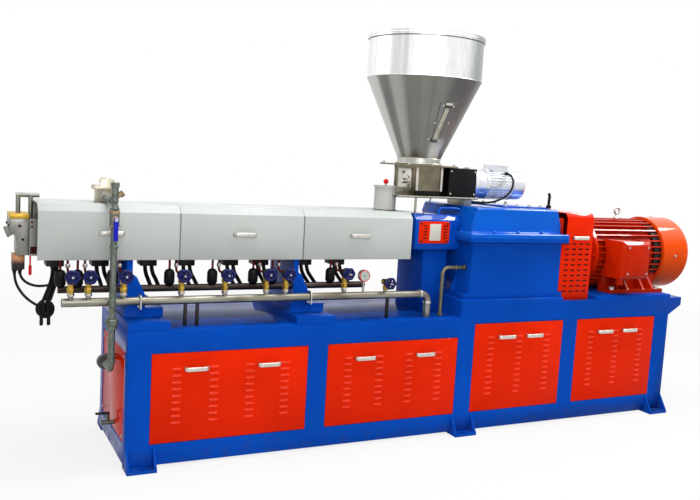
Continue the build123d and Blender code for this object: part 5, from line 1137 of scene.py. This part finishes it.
def lamp(name, place, aim, size, watts):
    light = bpy.data.lights.new(name, "AREA")
    light.size = size
    light.energy = watts
    made = link(name, light)
    made.location = place
    made.rotation_euler = (Vector(aim) - Vector(place)).to_track_quat("-Z", "Y").to_euler()


def seen_directly(graph):
    """1 for rays that show the background: straight ones, and those in gloss and glass."""
    path = graph.tree.nodes.new("ShaderNodeLightPath")
    shows = [Wire(graph, path.outputs[name]) for name in ("Is Camera Ray", "Is Glossy Ray", "Is Transmission Ray")]
    return shows[0].most(shows[1]).most(shows[2])


def studio():
    """Pale floor that keeps the shadow and fades into a white background, and soft lamps."""
    ground = bpy.data.meshes.new("ground")
    reach = 40
    corners = [(-reach, -reach, 0), (reach, -reach, 0), (reach, reach, 0), (-reach, reach, 0)]
    ground.from_pydata(corners, [], [(0, 1, 2, 3)])
    floor = link("floor", ground)
    material = bpy.data.materials.new("floor_pale")
    material.use_nodes = True
    graph = Graph(material.node_tree)
    matt = material.node_tree.nodes["Principled BSDF"]
    matt.inputs["Base Color"].default_value = (0.68, 0.68, 0.67, 1)
    matt.inputs["Roughness"].default_value = 0.9
    place = graph.node("ShaderNodeTexCoord", output="Object")
    far = graph.node("ShaderNodeVectorMath", {"operation": "LENGTH"}, {0: place}, "Value")
    glow = graph.node("ShaderNodeEmission", inputs={"Color": (1, 1, 1, 1), "Strength": 1})
    share = seen_directly(graph) * graph.remap(far, 2.6, 8, 0.83, 1)
    blend = graph.node("ShaderNodeMixShader", inputs={0: share, 1: Wire(graph, matt.outputs[0]), 2: glow})
    out = material.node_tree.nodes["Material Output"]
    material.node_tree.links.new(blend.socket, out.inputs["Surface"])
    ground.materials.append(material)

    world = bpy.data.worlds.new("studio")
    world.use_nodes = True
    bpy.context.scene.world = world
    graph = Graph(world.node_tree)
    backdrop = world.node_tree.nodes["Background"]
    backdrop.inputs["Color"].default_value = (1, 1, 1, 1)
    strength = seen_directly(graph) * 0.72 + 0.28
    world.node_tree.links.new(strength.socket, backdrop.inputs["Strength"])

    lamp("key", (-2.1, -5.4, 3.2), (-0.4, 0, 0.8), 3, 118)
    lamp("top", (0, -0.6, 6), (0, 0, 1), 5, 350)
    lamp("sky", (3.9, -0.9, 4.4), (0.8, 0, 1.1), 2, 130)
    lamp("rim", (-4.5, 3, 4), (0, 0, 1), 4, 45)
    bpy.context.scene.view_settings.view_transform = "Standard"


camera()
studio()
